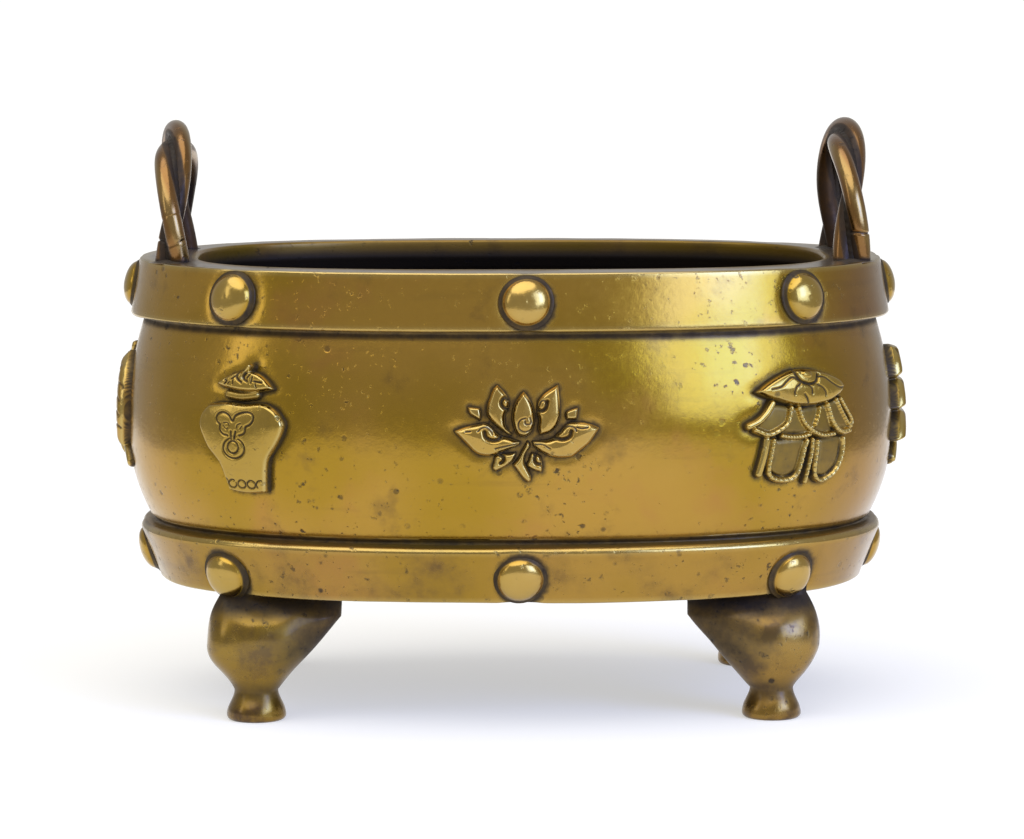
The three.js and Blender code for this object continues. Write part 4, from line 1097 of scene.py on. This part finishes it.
def legs(finish):
    """Four cabriole legs: every ring is four quarter ellipses that share the foot's centre."""
    z, out, front, spread = leg_rows().T[:, :, None]
    angle = np.arange(72) * TURN / 72
    inner = np.maximum(ANKLE_RADIUS, np.where(z < ANKLE_HEIGHT, out, 0))
    in_x, in_y = mix(inner, HIP_SPREAD_X, spread), mix(inner, HIP_SPREAD_Y, spread)
    c, s = np.cos(angle), np.sin(angle)
    x = c * np.where(c > 0, out, in_x)
    y = s * np.where(s > 0, front, in_y)
    parts = []
    for side_x, side_y in [(1, 1), (-1, 1), (-1, -1), (1, -1)]:
        turned = slice(None) if side_x * side_y > 0 else slice(None, None, -1)
        places = [side_x * (FOOT_X + x), side_y * (FOOT_Y + y), np.broadcast_to(z, x.shape)]
        grid = np.stack(places, -1)[:, turned]
        normals = surface_normals(grid)
        free = ramp(z, 0.9, 2.5)
        uneven = LEG_WAVES[0] * waves(grid, *LEG_WAVES[1:]) - LEG_SETBACK
        grid = grid + normals * (uneven * free)[..., None]
        # Painted shade: each leg darkens at its top under the band and on its inner side under the
        # vessel; the ankle's waist and the sole are darker too.
        shade_under_band = ramp(z, UNDERSIDE_HEIGHT - 9.0, UNDERSIDE_HEIGHT - 2.0)
        waist = 0.62 * hump(z - ANKLE_HEIGHT, 3.6)
        ground = 0.5 * (1 - ramp(z, 0.0, 1.2))
        inner_side_shade = 0.8 * ramp(-c, -0.1, 0.85) * ramp(z, ANKLE_HEIGHT, KNEE_HEIGHT)
        recess = np.maximum.reduce([shade_under_band + 0 * x, waist + 0 * x, ground + 0 * x, inner_side_shade])
        knee = 0.15 * hump(z - KNEE_HEIGHT, 6.0) * np.ones_like(x)
        mottle = 1.1 * np.ones_like(x)
        points, faces = capped_tube(grid)
        values = {"recess": recess, "worn": knee, "mottle": mottle}
        parts.append((points, faces, {name: capped(value) for name, value in values.items()}))
    return make_piece("legs", *join_parts(parts), finish)


# Handles


def handle_line(steps, height):
    """Centre line of a handle in its own upright plane: up, over a round arch and down. Gives
    the distance travelled, the places (y, z) and the directions."""
    crown = RIM_HEIGHT + height - STRAND_ORBIT - STRAND_RADIUS
    spring = crown - HANDLE_HALF_SPAN
    straight = spring - RIM_HEIGHT + ROPE_ROOT
    arch = math.pi * HANDLE_HALF_SPAN
    travelled = np.linspace(0, 2 * straight + arch, steps)
    angle = np.clip((travelled - straight) / HANDLE_HALF_SPAN, 0, math.pi)
    past = np.clip(travelled - straight - arch, 0, None)
    y = -HANDLE_HALF_SPAN * np.cos(angle)
    rising = RIM_HEIGHT - ROPE_ROOT + np.minimum(travelled, straight)
    z = rising + HANDLE_HALF_SPAN * np.sin(angle) - past
    direction = np.stack([np.zeros(steps), np.sin(angle), np.cos(angle)], -1)
    return travelled, np.stack([np.zeros(steps), y, z], -1), direction


def handle_reach():
    """Place of the handles on the rim: a share of its width out from the opening."""
    def reach(half_length, half_depth, exponent):
        share = abs(HANDLE_HALF_SPAN / half_depth) ** exponent
        return half_length * (1 - share) ** (1 / exponent)

    rim = BAND_HALF_LENGTH - UPPER_BAND_TOP_INSET, BAND_HALF_DEPTH - UPPER_BAND_TOP_INSET
    outer = reach(*rim, PLAN_EXPONENT)
    inner = reach(OPENING_HALF_LENGTH, OPENING_HALF_DEPTH, OPENING_EXPONENT)
    return mix(inner, outer, HANDLE_RIM_SHARE)


def rope_tube(line, away, radius_of):
    """Tube round a line of points. Gives its points and, for each, the cosine of its angle to the
    rope's outside."""
    steps, sides = len(line), 34
    tangent = np.gradient(line, axis=0)
    tangent /= np.linalg.norm(tangent, axis=1, keepdims=True)
    outer = away - (away * tangent).sum(1, keepdims=True) * tangent
    outer /= np.linalg.norm(outer, axis=1, keepdims=True)
    beside = np.cross(tangent, outer)
    angle = np.arange(sides) * TURN / sides
    section = np.cos(angle)[None, :, None] * outer[:, None]
    section = section + np.sin(angle)[None, :, None] * beside[:, None]
    radius = radius_of(line[:, None] + 2 * section, np.broadcast_to(angle, (steps, sides)))
    grid = line[:, None] + radius[..., None] * section
    return grid, np.cos(angle)[None] * np.ones((steps, 1))


def handle(name, side, height, start_twist, cracks, finish):
    """Two round strands that wind round the handle's centre line once in every pitch, with a core
    that fills the groove between them. Cracks are (strand, distance, depth) across a strand."""
    travelled, centre, direction = handle_line(360, height)
    sideways = np.array([1.0, 0, 0])
    inward = np.cross(direction, sideways)
    shift = np.array([side * handle_reach(), 0, 0])
    # Painted shade: the handle's back half is darkened and loses its rubbed brass.
    back_half_shade = ramp(travelled / travelled[-1], DIM_FROM_SHARE, DIM_TO_SHARE)[:, None]
    parts = []
    for strand in range(STRANDS):
        twist = TURN * strand / STRANDS + start_twist - TURN * travelled / ROPE_PITCH
        away = np.cos(twist)[:, None] * sideways + np.sin(twist)[:, None] * inward

        def across(at, angle):
            return travelled[:, None] - at - 0.6 * np.sin(angle + at)

        def radius_of(places, angle):
            uneven = 0.08 * waves(places, 30, 10, 8, 60 + strand)
            radius = STRAND_RADIUS - STRAND_UNEVENNESS + uneven
            for which, at, cut in cracks:
                if which == strand:
                    radius = radius - cut * hump(across(at, angle), CRACK_REACH)
            return radius

        grid, facing = rope_tube(centre + STRAND_ORBIT * away, away, radius_of)
        # Painted shade: each strand is darker on the half that faces into the rope.
        recess = ramp(-facing, -0.2, 0.2)
        angle = np.arange(grid.shape[1]) * TURN / grid.shape[1]
        for which, at, cut in cracks:
            if which == strand:
                dirty = min(1, 2 * cut) * hump(across(at, angle), CRACK_DIRT_REACH)
                recess = np.maximum(recess, dirty)
        base = hump(grid[..., 2] - RIM_HEIGHT, 1.0)
        recess = np.maximum(recess, base)
        worn = 0.35 * ramp(facing, 0.72, 1.0) * (1 - recess) * (1 - back_half_shade)
        nothing = 0 * worn
        values = {
            "recess": np.maximum(recess, 0.8 * back_half_shade),
            "worn": worn,
            "red": nothing + 1,
            "soot": nothing,
        }
        points, faces = capped_tube(grid + shift)
        parts.append((points, faces, {key: capped(value) for key, value in values.items()}))

    def core_radius(places, angle):
        ridges = np.sin(TURN * travelled / 2.1)[:, None] + 0 * angle
        return ROPE_CORE_RADIUS + 0.05 * ridges + 0.08 * waves(places, 14, 5, 8, 71)

    grid, facing = rope_tube(centre, inward, core_radius)
    points, faces = capped_tube(grid + shift)
    nothing = 0 * facing
    # The core is painted dark all over, as the shade in the groove between the strands.
    values = {"recess": nothing + 1, "worn": nothing, "red": nothing + 0.3, "soot": nothing + 0.7}
    parts.append((points, faces, {key: capped(value) for key, value in values.items()}))
    return make_piece(name, *join_parts(parts), finish)


def handle_roots(finish):
    """Low mounds of metal that run from the rim into the feet of the handles: the height over the
    rim falls off as the square of the distance from the rope."""
    reach = np.linspace(MOUND_RADIUS, 0.3, 12)
    angle = np.arange(40) * TURN / 40
    parts = []
    for side_x in (-1, 1):
        for side_y in (-1, 1):
            x = side_x * handle_reach() + reach[:, None] * np.cos(angle) * 0.98
            y = side_y * HANDLE_HALF_SPAN + reach[:, None] * np.sin(angle)
            rise = MOUND_HEIGHT * (1 - (reach[:, None] / MOUND_RADIUS) ** 2) ** 2
            z = RIM_HEIGHT - MOUND_ROOT + rise + 0 * x
            grid = np.stack([x, y, z], -1)
            recess = ramp(-reach[:, None], -6.6, -5.2) * 0.9 + 0 * x
            points, faces = capped_tube(grid)
            values = {"recess": capped(recess), "grey": capped(0.9 + 0 * x)}
            parts.append((points, faces, values))
    return make_piece("handle_roots", *join_parts(parts), finish)


# Finish


class Shade:
    """A number that varies over the surface. Arithmetic on it adds Math nodes to its material."""

    def __init__(self, finish, socket):
        self.finish, self.socket = finish, socket

    def math(self, operation, *others, clamp=False):
        settings = {"operation": operation, "use_clamp": clamp}
        inputs = dict(enumerate([self, *others]))
        return self.finish.node("ShaderNodeMath", settings, inputs)

    def __add__(self, other):
        return self.math("ADD", other)

    def __radd__(self, other):
        return self.math("ADD", other)

    def __sub__(self, other):
        return self.math("SUBTRACT", other)

    def __rsub__(self, other):
        return self.finish.node("ShaderNodeMath", {"operation": "SUBTRACT"}, {0: other, 1: self})

    def __mul__(self, other):
        return self.math("MULTIPLY", other)

    def __rmul__(self, other):
        return self.math("MULTIPLY", other)

    def step(self, low, high):
        """0 below low, 1 above high, smooth between them."""
        settings = {"interpolation_type": "SMOOTHSTEP"}
        inputs = {"Value": self, "From Min": low, "From Max": high}
        return self.finish.node("ShaderNodeMapRange", settings, inputs, "Result")

    def clamp(self):
        return self.math("ADD", 0.0, clamp=True)

    def highest(self, other):
        return self.math("MAXIMUM", other)


class Finish:
    """A material and the methods that add nodes to it."""

    def __init__(self, name):
        self.material = bpy.data.materials.new(name)
        self.material.use_nodes = True
        self.tree = self.material.node_tree
        self.shader = self.tree.nodes["Principled BSDF"]
        self.place = self.node("ShaderNodeTexCoord", {}, {}, "Object")

    def node(self, kind, settings, inputs, output=0):
        """Adds a node: its settings first, then the values or links of its sockets."""
        node = self.tree.nodes.new(kind)
        for key, value in settings.items():
            setattr(node, key, value)
        for key, value in inputs.items():
            self.feed(node.inputs[key], value)
        return Shade(self, node.outputs[output])

    def feed(self, socket, value):
        if isinstance(value, Shade):
            self.tree.links.new(value.socket, socket)
        else:
            socket.default_value = value

    def value_of(self, name):
        """A named value that the mesh carries."""
        return self.node("ShaderNodeAttribute", {"attribute_name": name}, {}, "Fac")

    def stretched(self, scale):
        """The place on the surface, scaled along each axis."""
        inputs = {"Vector": self.place, "Scale": scale}
        return self.node("ShaderNodeMapping", {}, inputs)

    def noise(self, scale, detail, roughness, place=None):
        """Cloudy noise, so many times in a metre."""
        inputs = {
            "Vector": place or self.place, "Scale": scale, "Detail": detail,
            "Roughness": roughness, "Distortion": 0.0,
        }
        return self.node("ShaderNodeTexNoise", {}, inputs, "Fac")

    def cells(self, scale):
        """Distance to the nearest of points strewn so many to a metre."""
        inputs = {"Vector": self.place, "Scale": scale, "Randomness": 1.0}
        return self.node("ShaderNodeTexVoronoi", {"feature": "F1"}, inputs, "Distance")

    def mixed(self, share, under, over):
        """Two colours mixed by a share."""
        settings = {"data_type": "RGBA", "blend_type": "MIX", "clamp_factor": True}
        inputs = {0: share, 6: under, 7: over}
        return self.node("ShaderNodeMix", settings, inputs, 2)

    def bumped(self, height, distance, strength):
        """Normal of a surface with this height, in metres times the distance."""
        inputs = {"Height": height, "Distance": distance, "Strength": strength}
        return self.node("ShaderNodeBump", {}, inputs, "Normal")


OLIVE_GOLD = (0.35, 0.205, 0.008, 1)
TAN_GOLD = (0.43, 0.245, 0.034, 1)
COPPER = (0.40, 0.175, 0.045, 1)
BROWN_PATINA = (0.105, 0.058, 0.020, 1)
BRASS = (0.56, 0.43, 0.15, 1)
# Dark colour of grime, also used for painted shade and painted shadow
GRIME_AND_SHADE = (0.016, 0.013, 0.012, 1)
# Black of soot, also painted on the ropes' cores as shade
SOOT_AND_SHADE = (0.012, 0.009, 0.008, 1)
RED_BROWN = (0.17, 0.072, 0.026, 1)
RIM_GREY = (0.28, 0.245, 0.20, 1)


def patinated_bronze():
    """Cast bronze with a worn olive-gold patina. Clouds of tan and copper lie over the gold, with
    brown mottling, pits and specks. The ropes and the right end are redder and the rim is
    greyer. Grime fills recesses and lies round studs and emblems. The same dark colours paint
    shade under the vessel, on the legs, and on the ropes' inner faces, cores and back halves,
    with a painted shadow beside each stud. Rubbed places are bright brass. Soot covers the
    inside."""
    f = Finish("patinated_bronze")
    recess = f.value_of("recess")
    worn = f.value_of("worn")
    soot = f.value_of("soot")
    red = f.value_of("red")
    mottle = f.value_of("mottle")
    gap = f.value_of("gap")
    grey = f.value_of("grey")

    clouds = f.noise(17.0, 3.0, 0.5)
    blotches = f.noise(70.0, 5.0, 0.6)
    grain = f.noise(520.0, 4.0, 0.6)
    ragged = f.noise(260.0, 4.0, 0.65)
    wipes = f.noise(60.0, 4.0, 0.6, f.stretched((0.25, 0.25, 2.6)))

    colour = f.mixed(clouds.step(0.38, 0.62), OLIVE_GOLD, TAN_GOLD)
    colour = f.mixed(f.noise(31.0, 4.0, 0.6).step(0.55, 0.75) * 0.45, colour, COPPER)
    colour = f.mixed(red * (0.8 + 0.5 * (blotches - 0.5)), colour, RED_BROWN)
    colour = f.mixed(grey * (0.75 + 0.5 * (blotches - 0.5)), colour, RIM_GREY)
    stains = blotches.step(0.56, 0.74) * 0.42 + wipes.step(0.56, 0.72) * 0.16
    stains = stains + mottle * (0.4 + 0.5 * blotches.step(0.42, 0.66))
    colour = f.mixed(stains.clamp(), colour, BROWN_PATINA)
    speck_field = f.noise(24.0, 3.0, 0.5).step(0.42, 0.66)
    specks = (1 - f.cells(260.0).step(0.16, 0.30)) * ragged.step(0.50, 0.60) * speck_field
    fine_specks = grain.step(0.635, 0.70) * (0.25 + 0.75 * speck_field)
    pits = (specks + 0.7 * fine_specks + 0.3 * mottle * ragged.step(0.6, 0.7)).clamp()
    colour = f.mixed(pits * 0.8, colour, GRIME_AND_SHADE)
    rubbed = (worn * (0.75 + 0.5 * (ragged - 0.5)) * (1 - 0.6 * pits)).clamp()
    colour = f.mixed(rubbed, colour, BRASS)
    # Grime in hollows, painted shade and a painted shadow beside each stud darken the colour here,
    # with a halo round emblems and studs.
    ragged_gap = gap + 1.6 * (ragged - 0.5) + 0.8 * (grain - 0.5)
    has_gap = gap.math("ABSOLUTE").step(0.0, 0.0005)
    halo = (1 - ragged_gap.step(-0.6, 2.3)) * has_gap * (1 - soot)
    ring = recess * (0.85 + 0.6 * (ragged - 0.5))
    grime_and_shade = ring.highest(halo * 0.92).clamp()
    grime_and_shade = grime_and_shade.step(0.0, 0.95)
    colour = f.mixed(grime_and_shade * 0.93, colour, GRIME_AND_SHADE)
    # Soot inside the vessel; on the ropes' cores the same black is painted shade.
    colour = f.mixed(soot * 0.97, colour, SOOT_AND_SHADE)

    covered = grime_and_shade.highest(soot)
    roughness = 0.21 + 0.10 * (clouds - 0.5) + 0.14 * (grain - 0.5) + 0.1 * stains - 0.04 * worn
    roughness = roughness + 0.34 * covered + 0.2 * pits + 0.12 * grey
    f.feed(f.shader.inputs["Base Color"], colour)
    f.feed(f.shader.inputs["Roughness"], roughness.clamp())
    f.feed(f.shader.inputs["Metallic"], (1.0 - 0.72 * covered).clamp())
    f.feed(f.shader.inputs["Specular IOR Level"], 0.2)
    f.feed(f.shader.inputs["Coat Weight"], (0.38 - 0.34 * covered).clamp())
    f.feed(f.shader.inputs["Coat Roughness"], 0.16)
    surface = 0.5 * blotches + 0.22 * ragged + 0.10 * grain + 0.12 * wipes
    surface = surface - 0.8 * pits - 0.4 * grime_and_shade * ragged
    f.feed(f.shader.inputs["Normal"], f.bumped(surface, 0.00022, 0.75))
    return f.material


def pale_floor():
    """Matt near-white floor, lit a little from below as on a light table."""
    f = Finish("pale_floor")
    f.feed(f.shader.inputs["Base Color"], (0.52, 0.51, 0.485, 1))
    f.feed(f.shader.inputs["Emission Color"], (1, 1, 1, 1))
    f.feed(f.shader.inputs["Emission Strength"], 0.5)
    f.feed(f.shader.inputs["Roughness"], 0.85)
    f.feed(f.shader.inputs["Specular IOR Level"], 0.1)
    return f.material


# Studio


def lay_floor():
    """A table-sized floor that widens behind the censer until it passes the picture's edges."""
    side, near, far, far_half = 0.5, 0.87, 22.0, 3.6
    mesh = bpy.data.meshes.new("floor")
    corners = [(-side, -near, 0), (side, -near, 0), (side, near, 0), (far_half, far, 0),
               (-far_half, far, 0), (-side, near, 0)]
    mesh.from_pydata(corners, [], [tuple(range(len(corners)))])
    mesh.materials.append(pale_floor())
    floor = bpy.data.objects.new("floor", mesh)
    bpy.context.scene.collection.objects.link(floor)


def soft_box(name, place, aim, width, height, power, colour=(1, 1, 1)):
    """Rectangular soft light at a place, turned towards a point."""
    data = bpy.data.lights.new(name, "AREA")
    data.shape = "RECTANGLE"
    data.size, data.size_y, data.energy, data.color = width, height, power, colour
    light = bpy.data.objects.new(name, data)
    light.location = place
    x, y, z = (b - a for a, b in zip(place, aim))
    light.rotation_euler = (math.atan2(math.hypot(x, y), -z), 0, math.atan2(y, x) - QUARTER)
    bpy.context.scene.collection.objects.link(light)


def light_studio():
    """Broad light from above, a soft box on each side, a cool window in the right one and a dim
    room all round."""
    sky = bpy.data.lights.new("ceiling", "SUN")
    sky.energy, sky.angle = 2.0, math.radians(70)
    ceiling = bpy.data.objects.new("ceiling", sky)
    ceiling.rotation_euler = (math.radians(14), math.radians(-10), 0)
    bpy.context.scene.collection.objects.link(ceiling)
    soft_box("left_box", (-1.2, -0.55, 0.65), (0, 0, 0.08), 0.3, 0.7, 0.92)
    soft_box("right_box", (0.915, -0.926, 0.56), (0, 0, 0.08), 1.0, 0.85, 12.5, (0.39, 0.53, 1.0))
    soft_box("window", (0.923, -0.876, 0.6), (0, 0, 0.08), 0.42, 0.6, 4.5, (0.03, 0.15, 1.0))
    world = bpy.data.worlds.new("room")
    bpy.context.scene.world = world
    world.use_nodes = True
    background = world.node_tree.nodes["Background"]
    background.inputs["Color"].default_value = (1, 1, 1, 1)
    background.inputs["Strength"].default_value = 0.48


bpy.context.scene.view_settings.view_transform = "Standard"

bronze = patinated_bronze()
vessel(bronze)
studs(bronze)
legs(bronze)
handle("handle_right", 1, RIGHT_HANDLE_HEIGHT, RIGHT_ROPE_START, RIGHT_CRACKS, bronze)
handle("handle_left", -1, LEFT_HANDLE_HEIGHT, LEFT_ROPE_START, LEFT_CRACKS, bronze)
handle_roots(bronze)
for emblem in EMBLEMS:
    make_piece(emblem.name, *emblem.solid(), bronze)
lay_floor()
light_studio()
